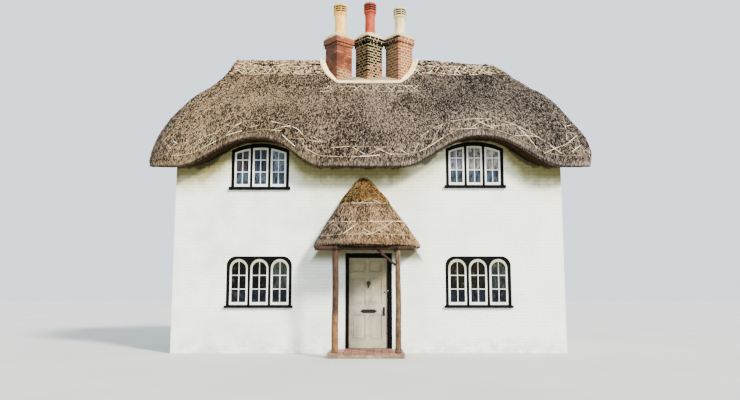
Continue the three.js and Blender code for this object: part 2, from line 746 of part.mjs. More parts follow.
const INNER_LENGTH = HALF_LENGTH - WALL_THICKNESS;
const INNER_DEPTH = HALF_DEPTH - WALL_THICKNESS;
const FRONT_Y = [-HALF_DEPTH, -INNER_DEPTH];
const BACK_Y = [INNER_DEPTH, HALF_DEPTH];

function frontHoles() {
  return joined(WINDOWS.map(({ kind, x, z }) => windowHole(kind, x, z)));
}

// The back repeats the front's windows, so that each stays under its eyebrow.
function mirroredToBack(solid) {
  return solid.mirror([0, 1, 0]);
}

function wallSolid(x, y, zLow) {
  return boxSolid(x, y, [zLow, WALL_TRIM_TOP]).intersect(wallSpace);
}

function frontWallSide(side) {
  const x = side < 0 ? [-HALF_LENGTH, -DOORWAY_HALF - GAP] : [DOORWAY_HALF + GAP, HALF_LENGTH];
  return wallSolid(x, FRONT_Y, 0).subtract(frontHoles());
}

function sideWall(side) {
  const x = side < 0 ? [-HALF_LENGTH, -INNER_LENGTH] : [INNER_LENGTH, HALF_LENGTH];
  return wallSolid(x, [-INNER_DEPTH + GAP, INNER_DEPTH - GAP], 0);
}

// Floors and chimney mass

function upperFloorSolid() {
  const x = [-INNER_LENGTH + GAP, INNER_LENGTH - GAP];
  const y = [-INNER_DEPTH + GAP, INNER_DEPTH - GAP];
  const hole = boxSolid(
    [-CHIMNEY_HALF_LENGTH - GAP, CHIMNEY_HALF_LENGTH + GAP],
    [-CHIMNEY_HALF_DEPTH - GAP, CHIMNEY_HALF_DEPTH + GAP],
    [UPPER_FLOOR_BOTTOM - 10, UPPER_FLOOR_TOP + 10],
  );
  return boxSolid(x, y, [UPPER_FLOOR_BOTTOM, UPPER_FLOOR_TOP]).subtract(hole);
}

function chimneyBreastSolid() {
  return boxSolid(
    [-CHIMNEY_HALF_LENGTH, CHIMNEY_HALF_LENGTH],
    [-CHIMNEY_HALF_DEPTH, CHIMNEY_HALF_DEPTH],
    [FLOOR_TOP + GAP, CHIMNEY_TOP],
  ).intersect(wallSpace);
}

// Door

const HINGE_X = -DOOR_CLEAR_HALF + DOOR_HINGE_GAP / 2;
const DOOR_BACK = DOOR_FRONT + DOOR_THICKNESS;
const HINGE_Y = DOOR_FRAME_BACK + HINGE_SETBACK;

function doorFrameSolid() {
  const outer = [-DOORWAY_HALF + GAP, DOORWAY_HALF - GAP];
  const z = [FLOOR_TOP + GAP, DOORWAY_TOP];
  const through = [DOOR_FRAME_FRONT - 50, DOOR_FRAME_BACK + 50];
  const clear = boxSolid([-DOOR_CLEAR_HALF, DOOR_CLEAR_HALF], through, [0, DOOR_CLEAR_TOP]);
  const stopHalf = DOOR_CLEAR_HALF - DOOR_STOP;
  const frame = boxSolid(outer, [DOOR_FRAME_FRONT, DOOR_FRAME_BACK], z).subtract(clear);
  const stopOpening = boxSolid([-stopHalf, stopHalf], through, [0, DOOR_CLEAR_TOP - DOOR_STOP]);
  const stop = boxSolid(outer, [DOOR_FRAME_FRONT, DOOR_STOP_BACK], z).subtract(stopOpening);
  const knuckles = HINGE_HEIGHTS.flatMap((height) => {
    const low = height - HINGE_KNUCKLE - GAP;
    const knuckle = poleSolid([HINGE_X, HINGE_Y, low], [HINGE_X, HINGE_Y, height - GAP], HINGE_RADIUS);
    const plateX = [HINGE_X - 30, HINGE_X];
    const plate = boxSolid(plateX, [DOOR_FRAME_BACK - 1, DOOR_FRAME_BACK + 5], [low, height - GAP]);
    return [knuckle, plate];
  });
  return joined([frame, stop, ...knuckles]);
}

function frontDoorSolid() {
  const x = [-DOOR_CLEAR_HALF + DOOR_HINGE_GAP, DOOR_CLEAR_HALF - DOOR_LATCH_GAP];
  const z = [FLOOR_TOP + DOOR_RUNNING_GAP, DOOR_CLEAR_TOP - DOOR_RUNNING_GAP];
  const leaf = boxSolid(x, [DOOR_FRONT, DOOR_BACK], z);
  const knuckles = HINGE_HEIGHTS.flatMap((height) => {
    const knuckle = poleSolid([HINGE_X, HINGE_Y, height], [HINGE_X, HINGE_Y, height + HINGE_KNUCKLE], HINGE_RADIUS);
    const plate = boxSolid([HINGE_X + 3, HINGE_X + 9], [DOOR_BACK - 1, HINGE_Y], [height, height + HINGE_KNUCKLE]);
    return [knuckle, plate];
  });
  return joined([leaf, ...knuckles]);
}

// Pieces on the door's face stand just clear of it.
const DOOR_FACE = DOOR_FRONT - GAP;

// The knocker: a pear-shaped drop on a flat back plate.
function knockerSolid() {
  const { half, low, high, thickness } = KNOCKER_PLATE;
  const back = boxSolid([-half, half], [DOOR_FACE - thickness, DOOR_FACE], [low, high]);
  const mirrored = KNOCKER_HALF.slice(1, -1).map(([x, z]) => [-x, z]).reverse();
  const outline = new THREE.Shape([...KNOCKER_HALF, ...mirrored].map(([x, z]) => new THREE.Vector2(x, z)));
  const drop = throughSolid(outline, DOOR_FACE - KNOCKER_DEPTH, DOOR_FACE - thickness + 1);
  return joined([back, drop]).translate([0, 0, KNOCKER_Z]);
}

function letterPlateSolid() {
  const { half, halfHeight, flapHalf, flapHalfHeight, earX, earRadius } = LETTER_PLATE;
  const plate = boxSolid([-half, half], [DOOR_FACE - 8, DOOR_FACE], [-halfHeight, halfHeight]);
  const flap = boxSolid([-flapHalf, flapHalf], [DOOR_FACE - 14, DOOR_FACE - 7], [-flapHalfHeight, flapHalfHeight]);
  const ears = [-earX, earX].map((x) => poleSolid([x, DOOR_FACE - 8, 0], [x, DOOR_FACE, 0], earRadius));
  return joined([plate, flap, ...ears]).translate([0, 0, LETTER_PLATE_Z]);
}

function handleSolid() {
  const { half, halfHeight, standOff, gripHalf, gripRadius } = HANDLE;
  const plate = boxSolid([-half, half], [DOOR_FACE - 6, DOOR_FACE], [-halfHeight, halfHeight]);
  const gripY = DOOR_FACE - standOff;
  const grip = poleSolid([0, gripY, -gripHalf], [0, gripY, gripHalf], gripRadius);
  const legs = [-gripHalf, gripHalf - 14].map((z) => boxSolid([-9, 9], [gripY, DOOR_FACE - 5], [z, z + 14]));
  return joined([plate, grip, ...legs]).translate([HANDLE_X, 0, HANDLE_Z]);
}

// Porch

// A ring of the porch thatch: half an ellipse standing out from the wall, closed along the wall.
function porchRing(z, halfWidth, reach) {
  const middle = PORCH_X - PORCH_LEAN * (z - PORCH_ROWS[0][0]);
  const front = steps(0, Math.PI, PORCH_STEPS).map((turn) => [
    middle - halfWidth * Math.cos(turn),
    -HALF_DEPTH - GAP - reach * Math.sin(turn),
    z,
  ]);
  const back = front.map(([x]) => [x, -HALF_DEPTH - GAP, z]).reverse();
  return [...front, ...back.slice(1, -1)];
}

// The half cone under a set of rings. Its top is closed by a fan.
function porchBody(rings) {
  const count = rings[0].length;
  const positions = new Float32Array(rings.flat(2));
  const triangles = [];
  for (let row = 0; row + 1 < rings.length; row += 1) {
    for (let i = 0; i < count; i += 1) {
      const next = (i + 1) % count;
      const [a, b, c, d] = [row * count + i, row * count + next, (row + 1) * count + next, (row + 1) * count + i];
      triangles.push(a, b, c, a, c, d);
    }
  }
  const top = (rings.length - 1) * count;
  for (let i = 0; i + 1 < PORCH_STEPS; i += 1) {
    const backLow = (count - i) % count;
    const backNext = count - i - 1;
    const ends = [i, i + 1, backNext, backLow];
    triangles.push(ends[0], ends[2], ends[1]);
    triangles.push(top + ends[0], top + ends[1], top + ends[2]);
    if (i > 0) {
      triangles.push(ends[0], ends[3], ends[2]);
      triangles.push(top + ends[0], top + ends[2], top + ends[3]);
    }
  }
  const last = PORCH_STEPS - 1;
  triangles.push(last, last + 2, last + 1);
  triangles.push(top + last, top + last + 1, top + last + 2);
  const geometry = new THREE.BufferGeometry();
  geometry.setAttribute("position", new THREE.BufferAttribute(positions, 3));
  geometry.setIndex(triangles);
  return solidOf(geometry);
}

function porchThatchSolid() {
  const outer = porchBody(PORCH_ROWS.map((row) => porchRing(...row)));
  const under = porchBody(PORCH_UNDER_ROWS.map((row) => porchRing(...row)));
  const wallSide = boxSolid(
    [-ROOF_REACH, ROOF_REACH],
    [-HALF_DEPTH - 60, -HALF_DEPTH],
    [BELOW_GROUND, PORCH_UNDER_WALL_TOP],
  );
  return outer.subtract(under).subtract(wallSide.intersect(under.translate([0, 20, 0])));
}

const PORCH_RAIL_Z = PORCH_ROWS[0][0] - GAP - PORCH_RAIL_RADIUS;

function porchPostSolid({ x, radius, topRadius }) {
  const top = PORCH_RAIL_Z - PORCH_RAIL_RADIUS - GAP;
  return poleSolid([x, PORCH_POST_Y, FLOOR_TOP + GAP], [x, PORCH_POST_Y, top], radius, topRadius, 14);
}

function porchFrameSolid() {
  const z = PORCH_RAIL_Z;
  const wallEnd = -HALF_DEPTH - GAP;
  const sideRails = PORCH_POSTS.map(({ x }) =>
    poleSolid([x, wallEnd, z], [x, PORCH_RAIL_FRONT, z], PORCH_RAIL_RADIUS),
  );
  const [left, right] = PORCH_CROSS_RAIL;
  const crossRail = poleSolid([left, PORCH_POST_Y, z], [right, PORCH_POST_Y, z], PORCH_RAIL_RADIUS);
  const { fromX, toX, toZ, radius } = PORCH_BRACE;
  const brace = poleSolid([fromX, PORCH_POST_Y, z], [toX, PORCH_POST_Y, toZ], radius, radius, 8);
  const { radius: postRadius, topRadius } = PORCH_POSTS[1];
  const post = porchPostSolid({ ...PORCH_POSTS[1], radius: postRadius + 1, topRadius: topRadius + 1 });
  return joined([...sideRails, crossRail, brace.subtract(post)]);
}

function porchFloorSolid() {
  const { left, right, front } = PORCH_FLOOR;
  const platform = boxSolid([left, right], [front, -HALF_DEPTH - GAP], [0, FLOOR_TOP]);
  const stepX = [-DOORWAY_HALF + GAP, DOORWAY_HALF - GAP];
  const doorStep = boxSolid(stepX, [-HALF_DEPTH - 5, -INNER_DEPTH - GAP], [0, FLOOR_TOP]);
  return joined([platform, doorStep]);
}

// Assembly

const cottage = new THREE.Group();
cottage.name = "thatched_cottage";

function addPiece(name, solid, material) {
  const mesh = new THREE.Mesh(geometryOf(solid), new THREE.MeshStandardMaterial(material));
  mesh.name = name;
  cottage.add(mesh);
}

// Floors and walls
addPiece(
  "floor_slab",
  boxSolid([-INNER_LENGTH + GAP, INNER_LENGTH - GAP], [-INNER_DEPTH + GAP, INNER_DEPTH - GAP], [0, FLOOR_TOP]),
  CONCRETE,
);
addPiece("upper_floor", upperFloorSolid(), TIMBER);
addPiece("front_wall_left", frontWallSide(-1), PAINT);
addPiece("front_wall_right", frontWallSide(1), PAINT);
addPiece("front_wall_over_door", wallSolid([-DOORWAY_HALF, DOORWAY_HALF], FRONT_Y, DOORWAY_TOP + GAP), PAINT);
addPiece(
  "back_wall",
  wallSolid([-HALF_LENGTH, HALF_LENGTH], BACK_Y, 0).subtract(mirroredToBack(frontHoles())),
  PAINT,
);
addPiece("left_wall", sideWall(-1), PAINT);
addPiece("right_wall", sideWall(1), PAINT);

// Windows, front and back
for (const { name, kind, x, z } of WINDOWS) {
  const frame = windowSolid(kind).translate([x, 0, z]);
  const glass = glassSolid(kind).translate([x, 0, z]);
  addPiece(`${name}_window`, frame, BLACK_PAINT);
  addPiece(`${name}_glass`, glass, GLASS);
  addPiece(`back_${name}_window`, mirroredToBack(frame), BLACK_PAINT);
  addPiece(`back_${name}_glass`, mirroredToBack(glass), GLASS);
}

// Door
addPiece("door_frame", doorFrameSolid(), BLACK_PAINT);
addPiece("front_door", frontDoorSolid(), DOOR_PAINT);
addPiece("door_knocker", knockerSolid(), BLACK_IRON);
addPiece("letter_plate", letterPlateSolid(), BLACK_IRON);
addPiece("door_handle", handleSolid(), BLACK_IRON);

// Thatch
const shell = thatchShell();
const areas = {
  front_thatch: slopeArea(-1),
  back_thatch: slopeArea(1),
  left_hip_thatch: hipArea(HIP_TOP_LEFT, -1),
  right_hip_thatch: hipArea(HIP_TOP_RIGHT, 1),
};
for (const [name, area] of Object.entries(areas)) {
  addPiece(name, shell.intersect(orderedArea(area)), THATCH);
}
addPiece("left_ridge_cap", ridgeCapSolid(-1), THATCH);
addPiece("right_ridge_cap", ridgeCapSolid(1), THATCH);

// Chimney
addPiece("chimney_breast", chimneyBreastSolid(), BRICK);
["left_stack", "middle_stack", "right_stack"].forEach((name, i) => addPiece(name, stackSolid(i), BRICK));
POTS.forEach(({ name, color }, i) => addPiece(name, potSolid(i), { color, roughness: 0.7, metalness: 0 }));
addPiece("chimney_base", chimneyBaseSolid(), MORTAR);

// Porch
addPiece("porch_thatch", porchThatchSolid(), THATCH);
for (const post of PORCH_POSTS) {
  addPiece(post.name, porchPostSolid(post), BARE_POLE);
}
addPiece("porch_frame", porchFrameSolid(), BARE_POLE);
addPiece("porch_floor", porchFloorSolid(), TILE);

export default cottage;
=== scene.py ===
from math import cos, pi, radians, sin

import bmesh
import bpy
import numpy as np
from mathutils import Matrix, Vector
from mathutils.bvhtree import BVHTree


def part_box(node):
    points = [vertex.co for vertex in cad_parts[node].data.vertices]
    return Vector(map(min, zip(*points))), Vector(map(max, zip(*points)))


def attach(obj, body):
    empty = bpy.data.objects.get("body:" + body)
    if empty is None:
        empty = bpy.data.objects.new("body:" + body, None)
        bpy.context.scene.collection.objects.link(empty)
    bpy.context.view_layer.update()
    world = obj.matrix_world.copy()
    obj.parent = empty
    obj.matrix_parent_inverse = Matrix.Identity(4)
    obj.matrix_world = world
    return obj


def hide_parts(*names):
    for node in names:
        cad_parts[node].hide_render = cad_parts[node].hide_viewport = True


# A thatched cottage, in metres, +Z up, with its front facing -Y. Left and right are as seen from the front.
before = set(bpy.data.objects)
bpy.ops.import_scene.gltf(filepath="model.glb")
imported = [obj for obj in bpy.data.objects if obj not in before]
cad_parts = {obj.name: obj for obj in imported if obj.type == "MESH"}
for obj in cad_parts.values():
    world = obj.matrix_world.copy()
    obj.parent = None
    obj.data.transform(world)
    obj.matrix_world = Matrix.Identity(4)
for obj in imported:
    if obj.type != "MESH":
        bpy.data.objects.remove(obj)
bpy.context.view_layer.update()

# The photograph: its middle and width in pixels, and its camera at real size
PHOTO_MIDDLE = (370, 200)
PHOTO_WIDTH = 740
FOCAL_PIXELS = 680
SENSOR_WIDTH = 36
EYE = Vector((0.03, -17.45, 1.40))
TILT = radians(7.456)

# Walls and chimney, as in the CAD model. A contact gap parts pieces that touch.
HALF_LENGTH = 4.35
HALF_DEPTH = 2.25
CONTACT_GAP = 0.0003
WALL_FACE = -HALF_DEPTH - CONTACT_GAP
STACK_SIDE = 0.505
STACK_PITCH = 0.8
STACK_ANGLE = radians(40)
STACK_FOOT = 6.3803
STACK_TOP = 7.83
COURSE = 0.0725
LOW_COURSE_PROJECTION = 0.023
LOW_COURSE_HEIGHT = 0.075
CAP_COURSE = 0.08
CAP_PROJECTION = 0.046
CAP_TOP = 7.99
FLAUNCHING_HEIGHT = 0.14
PORCH_X = -0.035

# Outer form of the thatch, ridge to lip: height, half depth, reach left and right, corner radius
ROOF_ROWS = np.array([
    [7.400, 0.025, 3.461, 3.090, 0.023],
    [7.330, 0.085, 3.520, 3.270, 0.080],
    [7.200, 0.165, 3.600, 3.490, 0.155],
    [7.000, 0.272, 3.735, 3.740, 0.250],
    [6.800, 0.385, 3.940, 4.000, 0.340],
    [6.620, 0.500, 4.140, 4.225, 0.430],
    [6.450, 0.660, 4.365, 4.455, 0.560],
    [6.150, 1.000, 4.650, 4.725, 0.760],
    [5.750, 1.408, 4.862, 4.917, 0.820],
    [5.300, 1.867, 4.982, 5.070, 0.800],
    [4.900, 2.275, 5.025, 5.140, 0.765],
    [4.620, 2.530, 5.010, 5.122, 0.730],
    [4.400, 2.680, 4.990, 5.090, 0.685],
    [4.225, 2.750, 4.975, 5.055, 0.640],
    [4.110, 2.755, 4.965, 5.025, 0.600],
    [4.045, 2.680, 4.950, 4.990, 0.560],
])
# The underside: its height at the wall, and its slope within and beyond it, along the eaves and at the hips.
# Along the eaves' slope it rises no higher than the eave top over an end wall.
EAVE_HEIGHT = 4.16
EAVE_SLOPE = 1.2
OUTER_EAVE_SLOPE = 0.22
EAVE_TOP = 5.55
HIP_HEIGHT = 5.62
HIP_SLOPE = 1.3
OUTER_HIP_SLOPE = 0.35
# How far in height the two blend into one another
UNDERSIDE_BLEND = 1.12
# How far the underside runs in below the ridge, left and right
UNDERSIDE_END = (-3.4, 3.05)
# Eyebrows: middle, lift, how far the left and right flanks run out at the lip, and the same at the wall.
# They fade out up the slope, between two distances from the ridge line.
EYEBROWS = [(-2.45, 0.645, 1.82, 1.42, 1.55, 1.47), (2.50, 0.690, 1.78, 1.84, 1.765, 1.47)]
EYEBROW_LIP_Y = 2.69
EYEBROW_POWER = 1.2
EYEBROW_DEPTHS = (0.5, 2.75)
EYEBROW_AT_WALL = 0.874
# Broad swells of the thatch, and where they fade out toward the lip and the ridge
SWELL = 0.014
SWELL_ACROSS = 1.9
SWELL_UP = 1.6
SWELL_HEIGHTS = (4.1, 4.5)
SWELL_DEPTHS = (0.6, 1.1)
# The ridge sags between these two places along it, and less the further down
SAG = 0.12
SAG_SPAN = (1.4, 3.1)
SAG_FOOT = 6.3
SAG_TALL = 1.1


# Small numeric helpers

def smoothstep(value, low, high):
    share = np.clip((value - low) / (high - low), 0, 1)
    return share * share * (3 - 2 * share)


def unit(vectors):
    return vectors / np.maximum(np.linalg.norm(vectors, axis=-1, keepdims=True), 1e-9)


def noise(points, seed):
    """Smooth noise from -1 to 1, with one cell to a unit."""
    points = np.asarray(points, float)
    cell = np.floor(points).astype(np.int64)
    part = points - cell
    part = part * part * (3 - 2 * part)
    total = np.zeros(points.shape[:-1])
    for corner in np.ndindex(2, 2, 2):
        key = (cell + np.array(corner)) @ np.array([73856093, 19349663, 83492791]) + seed * 7919
        key = (key ^ (key >> 13)) * 1274126177 & 0x7FFFFFFF
        value = ((key ^ (key >> 15)) & 0xFFFF) / 32767.5 - 1
        total += value * np.prod(np.where(corner, part, 1 - part), axis=-1)
    return total


def distances(points):
    """How far along a line, or down each column of a grid, its points are."""
    steps = np.linalg.norm(np.diff(points, axis=0), axis=-1)
    return np.concatenate([0 * steps[:1], np.cumsum(steps, axis=0)])


def rotation(angle):
    """A turn about the upright axis, for points multiplied by it."""
    return np.array([[cos(angle), sin(angle), 0], [-sin(angle), cos(angle), 0], [0, 0, 1]])


def circle(count):
    """Angles evenly spaced once round."""
    return np.arange(count) * 2 * pi / count


# Meshes

class Shape:
    """Points, faces and marks on the points, gathered from many small bodies."""

    def __init__(self):
        self.points = []
        self.faces = []
        self.marks = {}
        self.count = 0

    def add(self, points, faces, **marks):
        points = np.asarray(points, float).reshape(-1, 3)
        self.points.append(points)
        self.faces += [np.asarray(group) + self.count for group in faces if len(group)]
        for name, value in marks.items():
            value = np.asarray(value, float)
            if value.size == len(points):
                value = value.ravel()
            wide = value.shape[-1:] if value.ndim and value.size != len(points) else ()
            value = np.broadcast_to(value.reshape(-1, *wide), (len(points), *wide))
            self.marks.setdefault(name, []).append(value)
        self.count += len(points)


def make(name, shape, material, slot, *nodes, body="house", smooth=False, outward=True):
    """A piece from a shape. It rides on a body and may stand for CAD nodes."""
    mesh = bpy.data.meshes.new(name)
    sizes = np.concatenate([np.full(len(group), group.shape[1]) for group in shape.faces])
    corners = np.concatenate([group.ravel() for group in shape.faces])
    mesh.vertices.add(shape.count)
    mesh.vertices.foreach_set("co", np.concatenate(shape.points).ravel())
    mesh.loops.add(len(corners))
    mesh.loops.foreach_set("vertex_index", corners.astype(np.int32))
    mesh.polygons.add(len(sizes))
    mesh.polygons.foreach_set("loop_start", (np.cumsum(sizes) - sizes).astype(np.int32))
    mesh.update(calc_edges=True)
    if outward:
        work = bmesh.new()
        work.from_mesh(mesh)
        bmesh.ops.recalc_face_normals(work, faces=work.faces)
        work.to_mesh(mesh)
        work.free()
    mesh.polygons.foreach_set("use_smooth", np.full(len(sizes), smooth))
    for mark, values in shape.marks.items():
        values = np.concatenate(values)
        kind, field = ("FLOAT_VECTOR", "vector") if values.ndim == 2 else ("FLOAT", "value")
        data = mesh.attributes.new(mark, kind, "POINT").data
        data.foreach_set(field, values.ravel().astype(np.float32))
    mesh.materials.append(material)
    piece = bpy.data.objects.new(name, mesh)
    bpy.context.scene.collection.objects.link(piece)
    if nodes:
        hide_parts(*nodes)
    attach(piece, body)
    return piece


def grid_faces(rows, columns, closed=False):
    index = np.arange(rows * columns).reshape(rows, columns)
    if closed:
        index = np.hstack([index, index[:, :1]])
    return np.stack([index[:-1, :-1], index[1:, :-1], index[1:, 1:], index[:-1, 1:]], -1).reshape(-1, 4)


def tube_faces(rows, columns):
    """Faces of a body made of closed rings, with a cap at both ends."""
    cap = np.arange(columns)
    return [grid_faces(rows, columns, closed=True), cap[None], (cap + (rows - 1) * columns)[None]]


def block_faces():
    """Faces of a bevelled box. Each corner has three points, one on the box's face across each axis."""
    steps = (4, 2, 1)
    quads = []
    for axis in range(3):
        first, second = [k for k in range(3) if k != axis]

        def corner(side, a, b):
            return 3 * (side * steps[axis] + a * steps[first] + b * steps[second])
        for side in (0, 1):
            quads.append([corner(side, a, b) + axis for a, b in ((0, 0), (1, 0), (1, 1), (0, 1))])
        for a, b in np.ndindex(2, 2):
            near, far = corner(0, a, b), corner(1, a, b)
            quads.append([near + first, far + first, far + second, near + second])
    return [np.array(quads), np.arange(24).reshape(8, 3)]


BLOCK_FACES = block_faces()


def block(low, high, bevel=0.004):
    """A box with bevelled edges, as points and faces."""
    low, high = np.minimum(low, high).astype(float), np.maximum(low, high).astype(float)
    cut = np.minimum(bevel, (high - low) * 0.3)
    corners = np.array(list(np.ndindex(2, 2, 2)))
    inward = np.where(corners, -cut, cut)[:, None] * (1 - np.eye(3))
    return (np.where(corners, high, low)[:, None] + inward).reshape(-1, 3), BLOCK_FACES


def raised(line, y):
    """Points in X and Z set upright at a depth."""
    return np.column_stack([line[:, 0], np.full(len(line), y), line[:, 1]])


def ring_prism(outer, inner, front, back, bevel=0.003):
    """A frame between two outlines of equal count in X and Z, with its front edges bevelled."""
    count = len(outer)
    edge = unit(inner - outer) * abs(bevel)
    loops = [(outer, back), (outer, front + bevel), (outer + edge, front),
             (inner - edge, front), (inner, front + bevel), (inner, back)]
    here = np.arange(count)
    after = (here + 1) % count
    last = (len(loops) - 1) * count
    close = np.column_stack([here, after, last + after, last + here])
    points = np.concatenate([raised(*loop) for loop in loops])
    return points, [grid_faces(len(loops), count, closed=True), close]


def plate(line, front, back):
    """A flat plate with the given outline in X and Z."""
    return np.concatenate([raised(line, front), raised(line, back)]), tube_faces(2, len(line))


def swept(path, radius, sides):
    """A round rod along a path, with closed ends."""
    path = np.asarray(path, float)
    along = unit(np.gradient(path, axis=0))
    up = np.where(np.abs(along[:, 2:]) > 0.9, [[1.0, 0, 0]], [[0, 0, 1.0]])
    side = unit(np.cross(along, up))
    normal = np.cross(side, along)
    turn = circle(sides)[:, None]
    ring = side[:, None] * np.cos(turn) + normal[:, None] * np.sin(turn)
    return (path[:, None] + ring * radius).reshape(-1, 3), tube_faces(len(path), sides)


def turned(profile, middle, segments=40):
    """A turned body about an upright axis, from radius and height pairs, closed at both ends."""
    radius, height = np.array(profile, float).T[..., None]
    turn = circle(segments)
    points = np.stack([radius * np.cos(turn), radius * np.sin(turn), height + 0 * turn], -1)
    return points.reshape(-1, 3) + np.array(middle, float), tube_faces(len(profile), segments)


# Materials

def paint(code):
    """A colour written as in a picture, as the linear values of a shader."""
    parts = [int(code[i:i + 2], 16) / 255 for i in (1, 3, 5)]
    return (*[part / 12.92 if part <= 0.04045 else ((part + 0.055) / 1.055) ** 2.4 for part in parts], 1)


def shade(code, factor, warmth=0.0):
    """A colour made lighter or darker by a factor, and warmer."""
    red, shaded_paint, blue, _ = paint(code)
    return (red * factor, shaded_paint * factor * (1 - warmth * 0.4), blue * factor * (1 - warmth), 1)


class Value:
    """An output of a node that can be reckoned with like a number."""

    def __init__(self, surface, socket):
        self.surface = surface
        self.socket = socket

    def math(self, operation, *others):
        return self.surface.math(operation, self, *others)

    def __add__(self, other):
        return self.math("ADD", other)

    def __sub__(self, other):
        return self.math("SUBTRACT", other)

    def __rsub__(self, other):
        return self.surface.math("SUBTRACT", other, self)

    def __mul__(self, other):
        return self.math("MULTIPLY", other)

    def __pow__(self, other):
        return self.math("POWER", other)

    def __abs__(self):
        return self.math("ABSOLUTE")


class Surface:
    """A material's node tree, with short ways to add to it."""

    def __init__(self, name, roughness, **sockets):
        self.material = bpy.data.materials.new(name)
        self.material.use_nodes = True
        self.tree = self.material.node_tree
        self.shader = self.tree.nodes["Principled BSDF"]
        for socket, value in {"Roughness": roughness, **sockets}.items():
            self.shader.inputs[socket.replace("_", " ")].default_value = value

    def feed(self, socket, value):
        value = paint(value) if isinstance(value, str) else value
        if isinstance(value, Value):
            self.tree.links.new(value.socket, socket)
        else:
            socket.default_value = value

    def node(self, kind, inputs=(), output=0, **settings):
        made = self.tree.nodes.new("ShaderNode" + kind)
        for key, value in settings.items():
            setattr(made, key, value)
        for key, value in dict(inputs).items():
            self.feed(made.inputs[key], value)
        return Value(self, made.outputs[output])

    def place(self):
        return self.node("TexCoord", output="Object")

    def mark(self, name, output="Fac"):
        return self.node("Attribute", output=output, attribute_name=name)

    def noise(self, vector, scale, detail=4, roughness=0.6):
        """Noise, with one scale or with one for each axis."""
        if isinstance(scale, tuple):
            vector = self.node("Mapping", {"Vector": vector, "Scale": scale})
            scale = 1
        inputs = {"Vector": vector, "Scale": scale, "Detail": detail, "Roughness": roughness}
        return self.node("TexNoise", inputs)

    def math(self, operation, *values):
        return self.node("Math", dict(enumerate(values)), operation=operation)

    def between(self, value, low, high, to_low=0.0, to_high=1.0):
        inputs = {"Value": value, "From Min": low, "From Max": high, "To Min": to_low, "To Max": to_high}
        return self.node("MapRange", inputs, interpolation_type="SMOOTHSTEP")

    def ramp(self, factor, *stops):
        color = self.node("ValToRGB", {"Fac": factor})
        elements = color.socket.node.color_ramp.elements
        while len(elements) < len(stops):
            elements.new(1)
        for element, (at, code) in zip(elements, stops):
            element.position = at
            element.color = paint(code) if isinstance(code, str) else code
        return color

    def mix(self, factor, first, second, blend="MIX"):
        inputs = {0: factor, 6: first, 7: second}
        return self.node("Mix", inputs, output=2, data_type="RGBA", blend_type=blend)

    def split(self, vector):
        outputs = self.node("SeparateXYZ", {"Vector": vector}).socket.node.outputs
        return [Value(self, output) for output in outputs]

    def joined(self, x, y, z):
        return self.node("CombineXYZ", {"X": x, "Y": y, "Z": z})

    def bricks(self, vector, mortar, smooth, width, height):
        """1 in the joints of a bond of bricks or boards, and 0 between them."""
        inputs = {"Vector": vector, "Scale": 1.0, "Mortar Size": mortar, "Mortar Smooth": smooth,
                  "Brick Width": width, "Row Height": height}
        return self.node("TexBrick", inputs, output="Fac", offset=0.5)

    def finish(self, color, height=None, distance=0.004, strength=0.6, rough=None):
        self.feed(self.shader.inputs["Base Color"], color)
        if height is not None:
            bump = self.node("Bump", {"Height": height, "Distance": distance, "Strength": strength})
            self.feed(self.shader.inputs["Normal"], bump)
        if rough is not None:
            self.feed(self.shader.inputs["Roughness"], rough)
        return self.material


# Straw tones: how far the mixed noise is from its middle, and how bright and how warm the straw is there
STRAW_TONES = [(-0.095, 0.10, 0.25), (-0.050, 0.36, 0.1), (0.0, 1.0, 0.0), (0.050, 2.3, 0.12),
               (0.115, 5.4, 0.28)]
# Where the thatch's tint grows from left to right, and where its left verge, turned from the sun, is painted
# darker and greyer as shade
TINT_SPAN = (-3.2, 3.0)
SHADED_LEFT_VERGE = (-4.35, -4.85)
# Heights between which the painted shade in the gaps of the ridge layer grows, and those between which a post
# has lost its bark
DASH_HEIGHTS = (7.42, 7.25)
BARE_HEIGHTS = (1.12, 0.92)
# Heights between which the pots are stained, and the door is painted darker and greener as the porch's shade
POT_STAIN_HEIGHTS = (8.6, 9.0)
DOOR_SHADE_HEIGHTS = (1.15, 1.55)
# The porch's shade painted on the wall: its edge narrows with height, between a soft foot and a soft head
HOOD_TAPER = 0.66
HOOD_EDGE = (2.63, 2.55)
HOOD_FOOT = (1.90, 2.16)
HOOD_HEAD = (3.7, 3.5)
OUTER_SKIN = (-2.20, -2.24)
# The middle of the stretch of eave that the sun reaches
SUNNY_EAVE_X = 1.5


